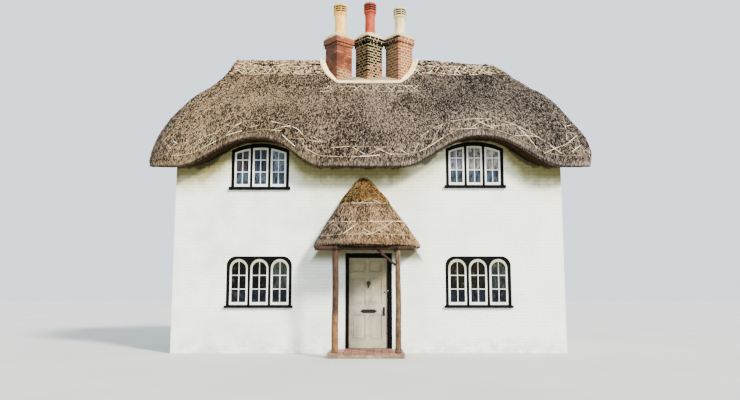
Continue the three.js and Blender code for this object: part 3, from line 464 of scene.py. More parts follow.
def thatch_material(name, straw, contrast, lip_gain=1.0, tint=(1.14, 1.25, 1.62), tinted=TINT_SPAN,
                    fine=1.0, dashes=0.0):
    """Weathered straw: dabs and streaks down the slope, patches, a paler lip, and cut ends underneath and at
    the lip's foot painted near-black as shade.

    The tint grows over the given span of X; on the porch it darkens the left side as painted shade. Dashes
    are painted shade: near-black gaps that run across, as along the ridge, stronger lower down.
    """
    it = Surface(name, 0.95, Specular_IOR_Level=0.1)
    flow, lip = it.mark("flow", "Vector"), it.mark("lip")
    x, _, z = it.split(it.place())
    dabs = it.noise(flow, (28 * fine, 28 * fine, 13 * fine), 2, 0.5)
    straws = it.noise(flow, (70, 70, 11), 3, 0.7)
    patches = it.noise(flow, (1.1, 1.1, 0.66), 3, 0.55)
    value = dabs * 0.6 + straws * 0.4 + (it.mark("tone") - 0.5) * 0.28
    value = value + it.between(patches, 0.3, 0.7, -0.045, 0.04)
    value = (value - 0.5) * it.between(x, TINT_SPAN[0], 1.0, 1.25, 1.0) + 0.5
    color = it.ramp(value, *[(0.5 + away / contrast, shade(straw, gain, warmth))
                             for away, gain, warmth in STRAW_TONES])
    stems = it.noise(flow, (66, 66, 7), 2, 0.6)
    ends = it.ramp(stems, (0.38, shade(straw, 0.7)), (0.5, shade(straw, 3.6)),
                   (0.62, shade(straw, 13.0, 0.25)))
    color = it.mix(lip * (0.62 * lip_gain), color, ends)
    color = it.mix(it.between(x, *tinted), color, it.mix(1.0, color, (*tint, 1), "MULTIPLY"))
    if dashes:
        gaps = it.noise(it.place(), (9, 9, 42), 2, 0.5)
        lower = it.between(z, *DASH_HEIGHTS, 0.45, 1.0)
        # Painted shade: near-black gaps between the bundles, stronger lower down the ridge
        color = it.mix(it.between(gaps, 0.51, 0.56, 0, dashes) * lower, color, "#0b0806")
        color = it.mix(it.between(gaps, 0.42, 0.37, 0, dashes * 0.7), color, "#ecd2a6")
    # Painted shade: the left verge, turned from the sun, darker and greyer
    color = it.mix(it.between(x, *SHADED_LEFT_VERGE) * (1 - lip) * 0.6, color, "#2f2c29")
    # Painted shade: where the cut mark is set, on the underside and at the lip's foot, a near-black brown
    under = it.ramp(it.noise(it.place(), 130, 2), (0.35, "#0c0703"), (0.55, "#231708"), (0.75, "#4a3516"))
    return it.finish(it.mix(it.mark("cut"), color, under), value, 0.012, 0.8)


def wood_material(name, dark, light, low_light=None):
    """Peeled wood with grain and knots. Its lower part may be paler, where the bark has worn off."""
    it = Surface(name, 0.75, Specular_IOR_Level=0.2)
    x, y, z = it.split(it.place())
    grain = it.noise(it.joined(x, y, z * 0.12), 60, 5, 0.65)
    knots = it.noise(it.place(), 7, 3, 0.55)
    value = grain * 0.6 + knots * 0.4
    color = it.ramp(value, (0.40, dark), (0.60, light))
    if low_light:
        worn = it.between(z + knots * 0.3, *BARE_HEIGHTS)
        color = it.mix(worn, color, it.ramp(value, (0.40, light), (0.58, low_light)))
    color = it.mix(it.between(knots, 0.62, 0.70, 0, 0.8), color, dark)
    return it.finish(color, grain, 0.003, 0.5)


def rod_material():
    """Split rods that hold the thatch: pale where clean, greyer where weathered, and near black at the lowest
    tone, the painted shadow in the crease under each rod.
    """
    it = Surface("split_rod", 0.8, Specular_IOR_Level=0.2)
    value = it.noise(it.place(), 45) * 0.4 + it.mark("tone") * 0.6
    color = it.ramp(value, (0.05, "#070504"), (0.2, "#5d4c36"), (0.4, "#ab946a"), (0.6, "#e6d3a5"),
                    (0.8, "#fff4d6"))
    return it.finish(color, value, 0.002, 0.5)


def brick_material():
    """Soft red bricks: tone from purple to orange, pale bloom, and soot. The tone and soot marks also carry
    painted light and shade between lit and shaded faces.
    """
    it = Surface("brick", 0.9, Specular_IOR_Level=0.12)
    grain = it.noise(it.place(), 60, 5, 0.7)
    value = it.mark("tone") + (grain - 0.5) * 0.5
    color = it.ramp(value, (0.0, "#2a1b1c"), (0.3, "#543630"), (0.55, "#733f26"), (0.8, "#93492f"),
                    (1.0, "#b8683f"))
    color = it.mix(it.mark("pale"), color, "#c98f72")
    soot = it.mark("soot") * it.between(it.noise(it.place(), 14, 3), 0.25, 0.5, 0.85, 1)
    return it.finish(it.mix(soot, color, "#070505"), grain, 0.003, 0.7)


def mortar_material():
    """Lime joints: bright where clean, sooty, or smeared with brick dust so that they hardly show; on the
    shaded faces the soot and the hiding are partly painted shade.
    """
    it = Surface("lime_mortar", 0.95, Specular_IOR_Level=0.12)
    grain = it.noise(it.place(), 90, 4, 0.7)
    color = it.ramp(grain, (0.3, "#93804f"), (0.55, "#cdb880"), (0.75, "#ead9a6"))
    color = it.mix(it.mark("hidden"), color, it.ramp(grain, (0.3, "#4e2f22"), (0.7, "#7d4a2e")))
    return it.finish(it.mix(it.mark("soot"), color, "#1c1513"), grain, 0.003, 0.6)


def cement_material():
    """Rough cement: weathered grey, and limewashed cream where it is marked."""
    it = Surface("cement", 0.92, Specular_IOR_Level=0.15)
    value = it.noise(it.place(), 4) * 0.5 + it.noise(it.place(), 55, 4, 0.7) * 0.5
    grey = it.ramp(value, (0.36, "#4a4334"), (0.5, "#6f664f"), (0.66, "#a39877"))
    cream = it.ramp(value, (0.36, "#c2a468"), (0.48, "#f6dd9e"), (0.66, "#fff4cc"))
    # The soot mark is used only for the lip's lowest band: near-black, painted shadow under its drip
    color = it.mix(it.mark("soot"), it.mix(it.mark("cream"), grey, cream), "#120d08")
    return it.finish(color, value, 0.008, 0.6)


def clay_material(name, dark, light, soot):
    """Unglazed clay, streaked down its length and stained round the head."""
    it = Surface(name, 0.65, Specular_IOR_Level=0.2)
    x, y, z = it.split(it.place())
    streaks = it.noise(it.joined(x, y, z * 0.2), 24)
    color = it.ramp(streaks, (0.3, dark), (0.6, light))
    stain = it.noise(it.place(), 9, 4, 0.65) * it.between(z, *POT_STAIN_HEIGHTS, 0.1, 1)
    return it.finish(it.mix(it.between(stain, 0.25, 0.60, 0, soot), color, "#3a2c17"), streaks, 0.003, 0.4)


def black_paint_material():
    it = Surface("black_paint", 0.55, Specular_IOR_Level=0.06)
    wear = it.noise(it.place(), 22)
    brush = it.noise(it.place(), (60, 60, 9), 3, 0.5)
    color = it.ramp(wear, (0.45, "#020202"), (0.8, "#0b0b0b"))
    return it.finish(color, brush, 0.001, 0.35, it.between(wear, 0.3, 0.8, 0.45, 0.65))


def casement_paint_material():
    """White gloss on the casements, with painted shade, olive, toward the heads under the eyebrows."""
    it = Surface("casement_paint", 0.5, Specular_IOR_Level=0.3)
    broad = it.noise(it.place(), 6)
    brush = it.noise(it.place(), (70, 70, 8), 3, 0.5)
    color = it.ramp(broad * 0.65 + brush * 0.35, (0.35, "#d9d8cc"), (0.6, "#fbfaf4"))
    # Painted shade of the eyebrows: olive toward the top of each casement, in patches
    head_shade = it.between(it.mark("height"), 0.62, 0.98) * it.between(broad, 0.3, 0.6, 0.6, 1.0)
    return it.finish(it.mix(head_shade * 0.8, color, "#8a8250"), brush, 0.001, 0.3)


def door_paint_material():
    """Grey-cream paint, painted darker and greener toward the top as the shade of the porch."""
    it = Surface("door_paint", 0.5, Specular_IOR_Level=0.25)
    _, _, z = it.split(it.place())
    brush = it.noise(it.place(), (70, 70, 8), 3, 0.5)
    value = it.noise(it.place(), 3) * 0.65 + brush * 0.35
    clean = it.ramp(value, (0.35, "#877e6c"), (0.6, "#aaa08c"))
    shaded_paint = it.ramp(value, (0.35, "#585335"), (0.6, "#746e4a"))
    # Painted shade of the porch: darker and greener toward the top of the leaf
    return it.finish(it.mix(it.between(z, *DOOR_SHADE_HEIGHTS, 0, 0.75), clean, shaded_paint), brush, 0.001, 0.3)


def iron_material():
    it = Surface("black_iron", 0.38, Metallic=0.7)
    pits = it.noise(it.place(), 160)
    return it.finish(it.ramp(pits, (0.3, "#0c0c0e"), (0.7, "#2b2a2b")), pits, 0.001, 0.5)


def glass_material():
    """Old panes: what each one shows, painted as reflection and as the shade of the rooms, broken up by waves
    in the glass and by what stands behind it.
    """
    it = Surface("window_panes", 0.08, Specular_IOR_Level=0.1)
    view = it.mark("view", "Color")
    waves = it.noise(it.place(), (15, 15, 6), 4, 0.65)
    blotches = it.noise(it.place(), 8, 3)
    # Painted reflection: waves in the glass make the painted view duller in places, brighter in others
    dull = it.mix(1.0, view, (0.25, 0.26, 0.28, 1), "MULTIPLY")
    clear = it.mix(1.0, view, (1.30, 1.30, 1.30, 1), "MULTIPLY")
    color = it.mix(it.between(waves, 0.38, 0.60), dull, clear)
    behind = it.ramp(waves, (0.4, "#1d1a10"), (0.6, "#4a452c"))
    color = it.mix(it.between(blotches, 0.56, 0.70, 0, 0.55), color, behind)
    return it.finish(color, it.noise(it.place(), (9, 9, 5), 2, 0.5), 0.004, 0.25)


def wall_material():
    """Limewashed brick: courses show faintly, with painted shade under the eaves and in the porch, painted
    light toward the right, and dirt on the plinth.
    """
    it = Surface("painted_wall", 0.85, Specular_IOR_Level=0.15)
    x, y, z = it.split(it.place())
    bricks = it.bricks(it.joined(x + y, z, 0.0), 0.007, 0.6, 0.23, 0.075)
    broad = it.noise(it.place(), 1.3)
    fine = it.noise(it.place(), 40, 5, 0.65)
    patchy = it.between(it.noise(it.place(), 5), 0.3, 0.7, -0.05, 0.05)
    # Height of the underside of the thatch at the wall, and how far below it each point is
    eave = ((HALF_DEPTH - abs(y)) * EAVE_SLOPE + EAVE_HEIGHT).math("MINIMUM", EAVE_TOP)
    for middle, lift, _, _, left, right in EYEBROWS:
        away = it.between(x, middle, middle - left) + it.between(x, middle, middle + right)
        eave = ((away ** EYEBROW_POWER * pi).math("COSINE") + 1.0) * (EYEBROW_AT_WALL * lift / 2) + eave
    below = eave - z + patchy
    # The sun reaches the eave to the right of the door, so less shade is painted there
    eave_shade_reach = it.between(abs(x - SUNNY_EAVE_X), 0.9, 0.4, 1.0, 0.35)
    color = it.ramp(broad, (0.3, "#dadcd0"), (0.62, "#f7f9f1"))
    # Painted light: the wall grows lighter toward the right, where the sun falls more fully
    color = it.mix(it.between(x, -0.5, 2.5, 0, 0.5), color, "#fefdf0")
    color = it.mix(bricks * 0.3, color, "#a9a78f")
    # Painted shade under the eaves, by depth below the underside: a pale yellow tint, an olive band, a darker
    # olive band, and a dark contact line
    color = it.mix(it.between(below, 1.1, 0.1, 0, 0.55), color, it.mix(bricks, "#e2dcab", "#c9c391"))
    color = it.mix(it.between(below, 0.75, 0.30) * eave_shade_reach * 0.55, color, it.mix(bricks, "#a99f60", "#857d48"))
    eave_shadow = it.between(below, 0.47, 0.15) * eave_shade_reach * it.between(fine, 0.2, 0.7, 0.85, 1.0)
    color = it.mix(eave_shadow * 0.92, color, it.mix(bricks, "#5f5826", "#474018"))
    color = it.mix(it.between(below, 0.07, 0.0, 0, 0.75), color, "#1c160a")
    # Painted shade of the porch roof on the wall above the door
    porch_shade = it.between(abs(x - PORCH_X) + z * HOOD_TAPER, *HOOD_EDGE) * it.between(y, *OUTER_SKIN)
    porch_shade = porch_shade * it.between(z, *HOOD_FOOT) * it.between(z, *HOOD_HEAD, 0, 0.9)
    color = it.mix(porch_shade, color, "#5b5328")
    plinth = it.between(z, 0.55, 0.0) * it.between(it.noise(it.place(), 5, 4, 0.7), 0.35, 0.65)
    color = it.mix(plinth * 0.4, color, "#8a8770")
    return it.finish(color, fine * 0.5 + broad - bricks * 0.45, 0.006, 0.55)


def tile_material():
    it = Surface("quarry_tile", 0.6)
    value = it.noise(it.place(), 12) * 0.6 + it.mark("tone") * 0.4
    color = it.ramp(value, (0.25, "#4a2c26"), (0.5, "#7d4a3c"), (0.75, "#a36a53"))
    return it.finish(color, it.noise(it.place(), 50, 3), 0.002, 0.5)


def plain_material(name, dark, light, scale):
    it = Surface(name, 0.85)
    value = it.noise(it.place(), scale, 5, 0.65)
    return it.finish(it.ramp(value, (0.35, dark), (0.65, light)), value, 0.003, 0.5)


def board_material():
    """Floorboards across the house, with joints and grain."""
    it = Surface("floor_timber", 0.7)
    x, y, _ = it.split(it.place())
    joints = it.bricks(it.joined(y, x, 0.0), 0.003, 0.1, 2.4, 0.16)
    grain = it.noise(it.place(), (4, 45, 45))
    color = it.mix(joints, it.ramp(grain, (0.3, "#5e4128"), (0.7, "#a17a50")), "#20150d")
    return it.finish(color, grain, 0.002, 0.5)


THATCH = thatch_material("thatch", "#3d352c", 1.6)
RIDGE_THATCH = thatch_material("ridge_thatch", "#54473a", 2.6, tint=(0.84, 0.98, 1.35), dashes=1.0)
# On the porch coat and crown the tint darkens the left side, turned from the sun: painted shade
PORCH_THATCH = thatch_material(
    "porch_thatch_straw", "#544636", 1.8, 0.15, tint=(0.55, 0.62, 0.85), tinted=(0.1, -1.0), fine=1.35)
PORCH_CAP_THATCH = thatch_material(
    "porch_cap_straw", "#47371f", 1.8, tint=(0.62, 0.72, 0.75), tinted=(-0.05, -0.45), fine=1.2)
RODS = rod_material()
BRICK = brick_material()
MORTAR = mortar_material()
CEMENT = cement_material()
CREAM_CLAY = clay_material("cream_clay", "#d8973a", "#fbd06a", 0.6)
RED_CLAY = clay_material("red_clay", "#7a2a18", "#b24a28", 0.4)
BUFF_CLAY = clay_material("buff_clay", "#b39c66", "#ecdca4", 0.7)
BLACK_PAINT = black_paint_material()
CASEMENT_PAINT = casement_paint_material()
DOOR_PAINT = door_paint_material()
IRON = iron_material()
PANES = glass_material()
WALL = wall_material()
LEFT_POST_WOOD = wood_material("left_post_wood", "#1f130d", "#4b3325", "#7d5534")
RIGHT_POST_WOOD = wood_material("right_post_wood", "#30231a", "#6b543b")
# The rails stand under the porch lip: painted nearly black-brown, darker than the wood's own brown, as
# painted shade
SHADED_RAIL_WOOD = wood_material("shaded_rail_wood", "#160c06", "#3d2715")
TILE = tile_material()
CONCRETE = plain_material("concrete", "#86817a", "#b3aea4", 18)
BOARDS = board_material()
# A near-black core inside each pot's head: the pot's sooty inside and painted shade, seen through the slots
FLUE_SOOT_AND_SHADE = plain_material("flue_soot_and_shade", "#020202", "#080605", 30)


# The thatch: rings of the outer form, trimmed by the underside

# Steps round a quarter of the ring, and from ridge to lip
HIP_STEPS = 62
CORNER_STEPS = 34
SLOPE_STEPS = 290
ROOF_STEPS = 140
# The ring that stands for the others where straws are counted round the roof, as a share of the way down
LEVEL_RING = 0.72
LIP_WIDTH = 0.24


def eyebrow_lift(x, wall_share=0.0):
    """How far the eave is lifted, between the lip (0) and the wall (1)."""
    lift = np.zeros_like(x)
    for middle, height, left, right, wall_left, wall_right in EYEBROWS:
        lip = np.where(x < middle, left, right)
        flank = lip + (np.where(x < middle, wall_left, wall_right) - lip) * wall_share
        away = np.minimum(1, np.abs(x - middle) / flank)
        lift += height * (1 + np.cos(pi * away ** EYEBROW_POWER)) / 2
    return lift


def eyebrow_share(y):
    return smoothstep(np.abs(y), *EYEBROW_DEPTHS)


def ridge_sag(x, z):
    return SAG * smoothstep(x, *SAG_SPAN) * np.clip((z - SAG_FOOT) / SAG_TALL, 0, 1)


def underside_height(x, y):
    """Height of the underside, where the slope along the eaves blends into that of the hips."""
    in_y = HALF_DEPTH - np.abs(y)
    in_x = HALF_LENGTH - np.abs(x)
    wall_share = np.clip((EYEBROW_LIP_Y - np.abs(y)) / (EYEBROW_LIP_Y - HALF_DEPTH), 0, 1)
    slope = EAVE_HEIGHT + in_y * np.where(in_y > 0, EAVE_SLOPE, OUTER_EAVE_SLOPE)
    slope = slope + eyebrow_lift(x, wall_share) * eyebrow_share(y)
    hip = HIP_HEIGHT + in_x * np.where(in_x > 0, HIP_SLOPE, OUTER_HIP_SLOPE)
    share = np.clip(0.5 + (hip - slope) / UNDERSIDE_BLEND, 0, 1)
    return hip + (slope - hip) * share - UNDERSIDE_BLEND / 2 * share * (1 - share)


def swell(x, y, z, half_depth):
    across = np.sin(2 * pi * (x + y / 2) / SWELL_ACROSS + np.sin(pi * z / SWELL_UP))
    up = np.cos(2 * pi * z / SWELL_UP + np.sin(pi * x / SWELL_ACROSS))
    return SWELL * across * up * smoothstep(z, *SWELL_HEIGHTS) * smoothstep(half_depth, *SWELL_DEPTHS)


def smooth_rows(samples=1200):
    """The rows as a smooth curve, evenly spaced from ridge to lip."""
    knots = distances(ROOF_ROWS[:, :2])
    knots /= knots[-1]
    slopes = np.gradient(ROOF_ROWS, knots, axis=0)
    at = np.linspace(0, 1, samples)
    i = np.clip(np.searchsorted(knots, at) - 1, 0, len(knots) - 2)
    width = (knots[i + 1] - knots[i])[:, None]
    t = (at - knots[i])[:, None] / width
    start, end = ROOF_ROWS[i], ROOF_ROWS[i + 1]
    return (start * (2 * t ** 3 - 3 * t ** 2 + 1) + slopes[i] * width * (t ** 3 - 2 * t ** 2 + t)
            + end * (3 * t ** 2 - 2 * t ** 3) + slopes[i + 1] * width * (t ** 3 - t ** 2))


FINE_ROWS = smooth_rows()


def rows_at(places):
    at = np.linspace(0, 1, len(FINE_ROWS))
    return [np.interp(places, at, row) for row in FINE_ROWS.T]


def ring_columns():
    """Each column's part of the ring, its share of that part, its end of the house and its side.

    The columns go once round from the middle of the left hip by way of the front.
    """
    def run(part, count, end):
        shares = np.arange(count) / count
        return [(part, 1 - share if end > 0 else share, end) for share in shares]
    half = [*run("hip", HIP_STEPS, -1), *run("corner", CORNER_STEPS, -1), *run("slope", SLOPE_STEPS, 0),
            *run("corner", CORNER_STEPS, 1), *run("hip", HIP_STEPS, 1)]
    front = [(*column, -1) for column in half]
    back = [(*column, 1) for column in [*half[1:], ("hip", 0.0, 1)][::-1]]
    return [np.array(values) for values in zip(*front, *back)]


PART, SHARE, END, FACE = ring_columns()
COLUMN_COUNT = len(PART)
# Columns where the front and the back slope start and end, each with its two corners
FRONT_START = HIP_STEPS
FRONT_END = FRONT_START + 2 * CORNER_STEPS + SLOPE_STEPS
BACK_START = COLUMN_COUNT // 2 + FRONT_START
BACK_END = COLUMN_COUNT // 2 + FRONT_END


def by_part(on_hip, on_corner, on_slope):
    return np.where(PART == "hip", on_hip, np.where(PART == "corner", on_corner, on_slope))


def ring_points(places):
    """Points of the outer form: places from ridge to lip, one column for each column of the ring."""
    z, depth, left, right, radius = rows_at(places)
    reach = np.where(END < 0, left, right)
    turn = SHARE * pi / 2
    sign = np.where(END == 0, 1, END)
    corner_x = sign * (reach - radius * (1 - np.cos(turn)))
    corner_y = depth - radius + radius * np.sin(turn)
    slope_x = (radius - left) + (right - radius - (radius - left)) * SHARE
    x = by_part(sign * reach, corner_x, slope_x)
    y = FACE * by_part((depth - radius) * SHARE, corner_y, depth)
    out = swell(x, y, z, depth)
    x = x + sign * by_part(1, np.cos(turn), 0) * out
    y = y + FACE * by_part(0, np.sin(turn), 1) * out
    return np.stack([x, y, z + eyebrow_lift(x) * eyebrow_share(y) - ridge_sag(x, z)], -1)


def roof_grid(probes=500):
    """The thatch's outer form before it is roughened, each column ending at its lip."""
    probe = np.linspace(0, 1, probes)[:, None] * np.ones(COLUMN_COUNT)
    points = ring_points(probe)
    above = points[..., 2] - underside_height(points[..., 0], points[..., 1])
    first = np.where((above < 0).any(axis=0), np.argmax(above < 0, axis=0), probes - 1)
    columns = np.arange(COLUMN_COUNT)
    over, under = above[first - 1, columns], above[first, columns]
    cut = probe[first - 1, columns] + probe[1, 0] * np.clip(over / np.maximum(over - under, 1e-6), 0, 1)
    return ring_points(np.linspace(0, 1, ROOF_STEPS)[:, None] * cut)


def grid_normals(grid):
    down = np.gradient(grid, axis=0)
    across = np.roll(grid, -1, axis=1) - np.roll(grid, 1, axis=1)
    return unit(np.cross(down, across))


def grid_flow(grid):
    """Where each point is round a level ring, in plan, and how far it is down the slope."""
    level = ring_points(np.full((1, COLUMN_COUNT), LEVEL_RING))
    flow = np.broadcast_to(level, grid.shape).copy()
    flow[..., 2] = distances(grid)
    return flow


def roughness(points, seed, *layers):
    """Noise in layers, each with a depth and with its number of cells to a unit."""
    return sum(depth * noise(points * cells, seed + k) for k, (depth, cells) in enumerate(layers))


def roughened(grid, flow, seed):
    """Bundles and straws pushed out and in along the surface's own direction."""
    height = roughness(flow, seed, (0.008, (11, 11, 4)), (0.009, (24, 24, 9)))
    return grid + grid_normals(grid) * height[..., None]


ROOF = roof_grid()
ROOF_FLOW = grid_flow(ROOF)
ROOF_SURFACE = roughened(ROOF, ROOF_FLOW, 12)

# Plan of the chimney's base: how far its arms reach, its straight front and its depth
BASE_REACH = 1.31
BASE_STRAIGHT = 0.80
BASE_DEPTH = 0.478
ARM_FLARE = 1.7


def in_chimney(points, shrink):
    """Whether points lie inside the plan of the chimney's base."""
    x, y = np.abs(points[..., 0]), np.abs(points[..., 1])
    reach, depth = BASE_REACH - shrink, BASE_DEPTH - shrink
    arm = np.maximum(1 - (y / depth) ** 2, 0) ** (ARM_FLARE / 2)
    return (y < depth) & (x < BASE_STRAIGHT + (reach - BASE_STRAIGHT) * arm)


def clear_faces(grid, shrink):
    """The faces of a grid that lie outside the chimney's base."""
    faces = grid_faces(*grid.shape[:2])
    middles = grid.reshape(-1, 3)[faces].mean(axis=1)
    return [faces[~in_chimney(middles, shrink)]]


def lip_share(flow):
    """How near each point of a coat is to its lip: 0 above the lip's band and 1 at the lip itself."""
    return 1 - smoothstep(flow[-1:, :, 2] - flow[..., 2], 0.0, LIP_WIDTH)


def foot_marks(grid, *shares):
    """How far each point is painted dark as cut ends in shade: the given shares for the last rows, 0 for the
    others.
    """
    marks = np.zeros(grid.shape[:2])
    marks[-len(shares):] = np.array(shares)[:, None]
    return marks


def lip_foot(grid):
    # The last three rows are painted darker and darker, as the shade at the foot of the lip
    return foot_marks(grid, 0.1, 0.75, 1.0)


def over_ridge(grid, rise=0.0):
    """A grid with one more row at its top, on the ridge line."""
    return np.concatenate([grid[:1] * (1, 0, 1) + (0, 0, rise), grid])


def straws_on(shape, grid, flow, count, seed, length=(0.05, 0.13), width=(0.006, 0.02), lift=0.012,
              rows=(0.0, 1.0), tones=(0.0, 1.0), lip=None, lean=0.28, skip=None):
    """Thin slips of straw lying down the slope, each a closed sliver.

    Where skip is given, none starts inside the plan of the chimney's base, shrunk by that much.
    """
    draw = np.random.default_rng(seed)
    row = draw.uniform(*rows, count) * (grid.shape[0] - 2)
    column = draw.uniform(0, 1, count) * (grid.shape[1] - 2)
    i, j = row.astype(int), column.astype(int)
    a, b = (row - i)[:, None], (column - j)[:, None]
    at = (grid[i, j] * (1 - a) * (1 - b) + grid[i + 1, j] * a * (1 - b)
          + grid[i, j + 1] * (1 - a) * b + grid[i + 1, j + 1] * a * b)
    down = unit(grid[i + 1, j] - grid[i, j])
    across = unit(grid[i, j + 1] - grid[i, j])
    normal = unit(np.cross(down, across))
    run = unit(down + across * draw.normal(0, lean, count)[:, None])
    side = np.cross(normal, run)
    long = draw.uniform(*length, count)[:, None]
    wide = draw.uniform(*width, count)[:, None] / 2
    up = draw.uniform(0.2, 1.0, count)[:, None] * lift
    root = at - normal * 0.004
    points = np.stack([root - side * wide, root + side * wide, at + normal * (wide + 0.003),
                       at + run * long + normal * up], axis=1)
    if skip is not None:
        keep = ~in_chimney(at, skip)
        points, i, j = points[keep], i[keep], j[keep]
    amount = len(points)
    first = 4 * np.arange(amount)[:, None]
    faces = [first + np.array(face) for face in ((0, 2, 1), (0, 3, 2), (2, 3, 1), (0, 1, 3))]
    tone = draw.uniform(*tones, amount)
    shift = draw.uniform(-0.2, 0.2, (amount, 3))
    near = np.zeros(amount) if lip is None else lip[i, j]
    shape.add(points, faces, flow=np.repeat(flow[i, j] + shift, 4, axis=0), tone=np.repeat(tone, 4), cut=0.0,
              lip=np.repeat(near, 4))


def add_underside(shape, under):
    """The underside of a coat, painted dark as cut ends in shade, but for the edge that it shares with the
    lip.
    """
    cut = np.ones(under.shape[:2])
    cut[0] = 0
    shape.add(under, [grid_faces(*cut.shape)], flow=under, tone=0.5, cut=cut, lip=0.0)


def under_grid(columns, steps=12):
    """The underside, from the lip inward under the ridge."""
    lip = ROOF_SURFACE[-1, columns]
    inner = np.stack([np.clip(lip[:, 0], *UNDERSIDE_END), np.zeros(len(lip))], -1)
    share = (np.linspace(0, 1, steps) ** 1.6)[:, None, None]
    plan = lip[None, :, :2] + (inner - lip[:, :2])[None] * share
    height = underside_height(plan[..., 0], plan[..., 1])[..., None]
    height = height + 0.010 * (noise(np.concatenate([plan, height], -1) * 9, 41) - 1)[..., None]
    height[0] = lip[:, 2:]
    return np.concatenate([plan, height], -1)


def column_range(start, end):
    return np.arange(start, end + 1) % COLUMN_COUNT


def thatch_coat(name, columns, node, straw_count, seed):
    """One side of the thatch: its outer surface, its underside and its loose straws."""
    outer = over_ridge(ROOF_SURFACE[:, columns])
    flow = ROOF_FLOW[[0, *range(ROOF_STEPS)]][:, columns]
    lip = lip_share(flow)
    shape = Shape()
    shape.add(outer, clear_faces(outer, 0.035), flow=flow, tone=0.5, cut=lip_foot(outer), lip=lip)
    add_underside(shape, under_grid(columns))
    straws_on(shape, outer, flow, straw_count, seed, rows=(0.0, 0.965), lip=lip, skip=-0.02)
    straws_on(shape, outer, flow, straw_count // 4, seed + 40, length=(0.03, 0.06), width=(0.006, 0.016),
              rows=(0.95, 0.985), lip=lip, lean=0.14)
    make(name, shape, THATCH, "thatch", node, outward=False)


def extra_straws(name, columns, count, seed):
    """More loose straw over one side of the thatch."""
    shape = Shape()
    flow = ROOF_FLOW[:, columns]
    straws_on(shape, ROOF_SURFACE[:, columns], flow, count, seed, length=(0.04, 0.10), width=(0.012, 0.032),
              rows=(0.0, 0.97), lip=lip_share(flow), skip=-0.02)
    make(name, shape, THATCH, "thatch", outward=False)


def thatch_coats():
    front = column_range(FRONT_START, FRONT_END)
    thatch_coat("front_coat", front, "front_thatch", 17000, 21)
    extra_straws("front_straws", front, 45000, 25)
    thatch_coat("back_coat", column_range(BACK_START, BACK_END), "back_thatch", 12000, 22)
    thatch_coat("right_hip_coat", column_range(FRONT_END, BACK_START), "right_hip_thatch", 4500, 23)
    left = column_range(BACK_END, COLUMN_COUNT + FRONT_START)
    thatch_coat("left_hip_coat", left, "left_hip_thatch", 4500, 24)


# The ridge layer: where it starts beside the stacks, how low it comes and how proud it is
CAP_START = 0.8
CAP_LOW_Z = 6.94
CAP_PROUD = 0.024
CAP_STEPS = 26
# The row of the roof whose points make the layer's foot ragged
RAGGED_ROW = 30


def ridge_cap(name, side, node, seed):
    """The extra layer along the ridge, proud of the coat, wrapped round the top of the hip."""
    columns = np.flatnonzero(ROOF[0, :, 0] * side > CAP_START)
    if side < 0:
        columns = np.roll(columns, -int(np.argmax(np.diff(columns, prepend=columns[0]) > 1)))
    ragged = CAP_LOW_Z + roughness(ROOF[RAGGED_ROW, columns], seed + 7, (0.03, 5), (0.02, 17))
    drop = np.argmax(ROOF[:, columns, 2] < ragged, axis=0)
    share = np.linspace(0, 1, CAP_STEPS)[:, None] * drop
    low = np.floor(share).astype(int)
    part = (share - low)[..., None]
    at = ROOF[low, columns] * (1 - part) + ROOF[low + 1, columns] * part
    out = grid_normals(ROOF)[low, columns]
    flow = ROOF_FLOW[low, columns] + (3.0, 5.0, 1.0)
    edge = np.interp(np.linspace(0, 1, CAP_STEPS), (0, 0.75, 0.95, 1), (1, 1, 0.7, 0.4))[:, None]
    proud = (CAP_PROUD + roughness(flow, seed, (0.007, (14, 14, 6)), (0.006, (30, 30, 11)))) * edge
    surface = over_ridge(at + out * proud[..., None], 0.012)
    outer = np.concatenate([surface, at[-1:] - out[-1:] * 0.02])
    flow = np.concatenate([flow[:1], flow, flow[-1:]])
    shape = Shape()
    # The layer's last row is painted dark, as the shade under its proud edge
    shape.add(outer, clear_faces(outer, 0.01), flow=flow, tone=0.55, cut=foot_marks(outer, 0.8), lip=0.0)
    straws_on(shape, surface, flow[:-1], 4200, seed + 2, length=(0.05, 0.12), width=(0.008, 0.024), lift=0.02,
              skip=0.0)
    return make(name, shape, RIDGE_THATCH, "thatch", node, outward=False)


# Rods on the thatch, placed by the pixels where the photograph shows them

ROD_RADIUS = 0.0074
ROD_STEP_PIXELS = 1.3
LEFT_BAND = [
    [(163.7, 140.7), (175, 153.6)], [(164.4, 140.7), (168, 136.4)],
    [(158.7, 152.9), (165, 155), (176.6, 155.7)],
    [(170.9, 136.4), (174.4, 142.9), (180, 144.7), (188.7, 142)], [(186.6, 150.7), (195, 140.7)],
    [(193.7, 144.3), (203.7, 137), (216.6, 132.9)],
    [(209.4, 143.6), (215, 135), (222.3, 127.9), (225.9, 125)],
    [(216.6, 127.9), (225.9, 125), (233.7, 126.4)], [(225.9, 135), (233.7, 127.9), (240.9, 122.9)],
    [(233.7, 126.4), (246.6, 120.7), (258, 120.7), (270.9, 121.4)],
    [(240.9, 122.9), (248, 127.9), (258, 125.7)], [(270.9, 130.7), (283.7, 126.4), (290.9, 126.4)],
    [(248, 132), (262.3, 129.3), (280.9, 130.7)],
    [(270.9, 121.4), (290.9, 126.4), (298, 129.3), (306.6, 140.7)], [(288, 137.9), (303.7, 139.3)],
    [(302.3, 143.6), (306.6, 149.3), (319.4, 155.7)], [(299.4, 130.7), (309.4, 140.7), (322.3, 142)],
    [(310.9, 136.4), (321.6, 141.4)], [(322, 148.6), (328, 153.6)],
    [(319.4, 155.7), (335, 156.6), (350.9, 157)], [(330.9, 147.9), (350.9, 146.4)],
    [(282.3, 135), (295, 146.4)], [(176.6, 155.7), (190, 154), (203, 148), (216, 141)],
    [(216, 141), (229, 134.5), (242, 131)], [(350.9, 157), (372, 156), (392, 154)],
    [(350.9, 146.4), (371, 147), (390, 146.5)], [(345, 156), (362, 147)], [(352, 147), (368, 156)],
    [(366, 156), (384, 147)], [(374, 147), (392, 155)],
]
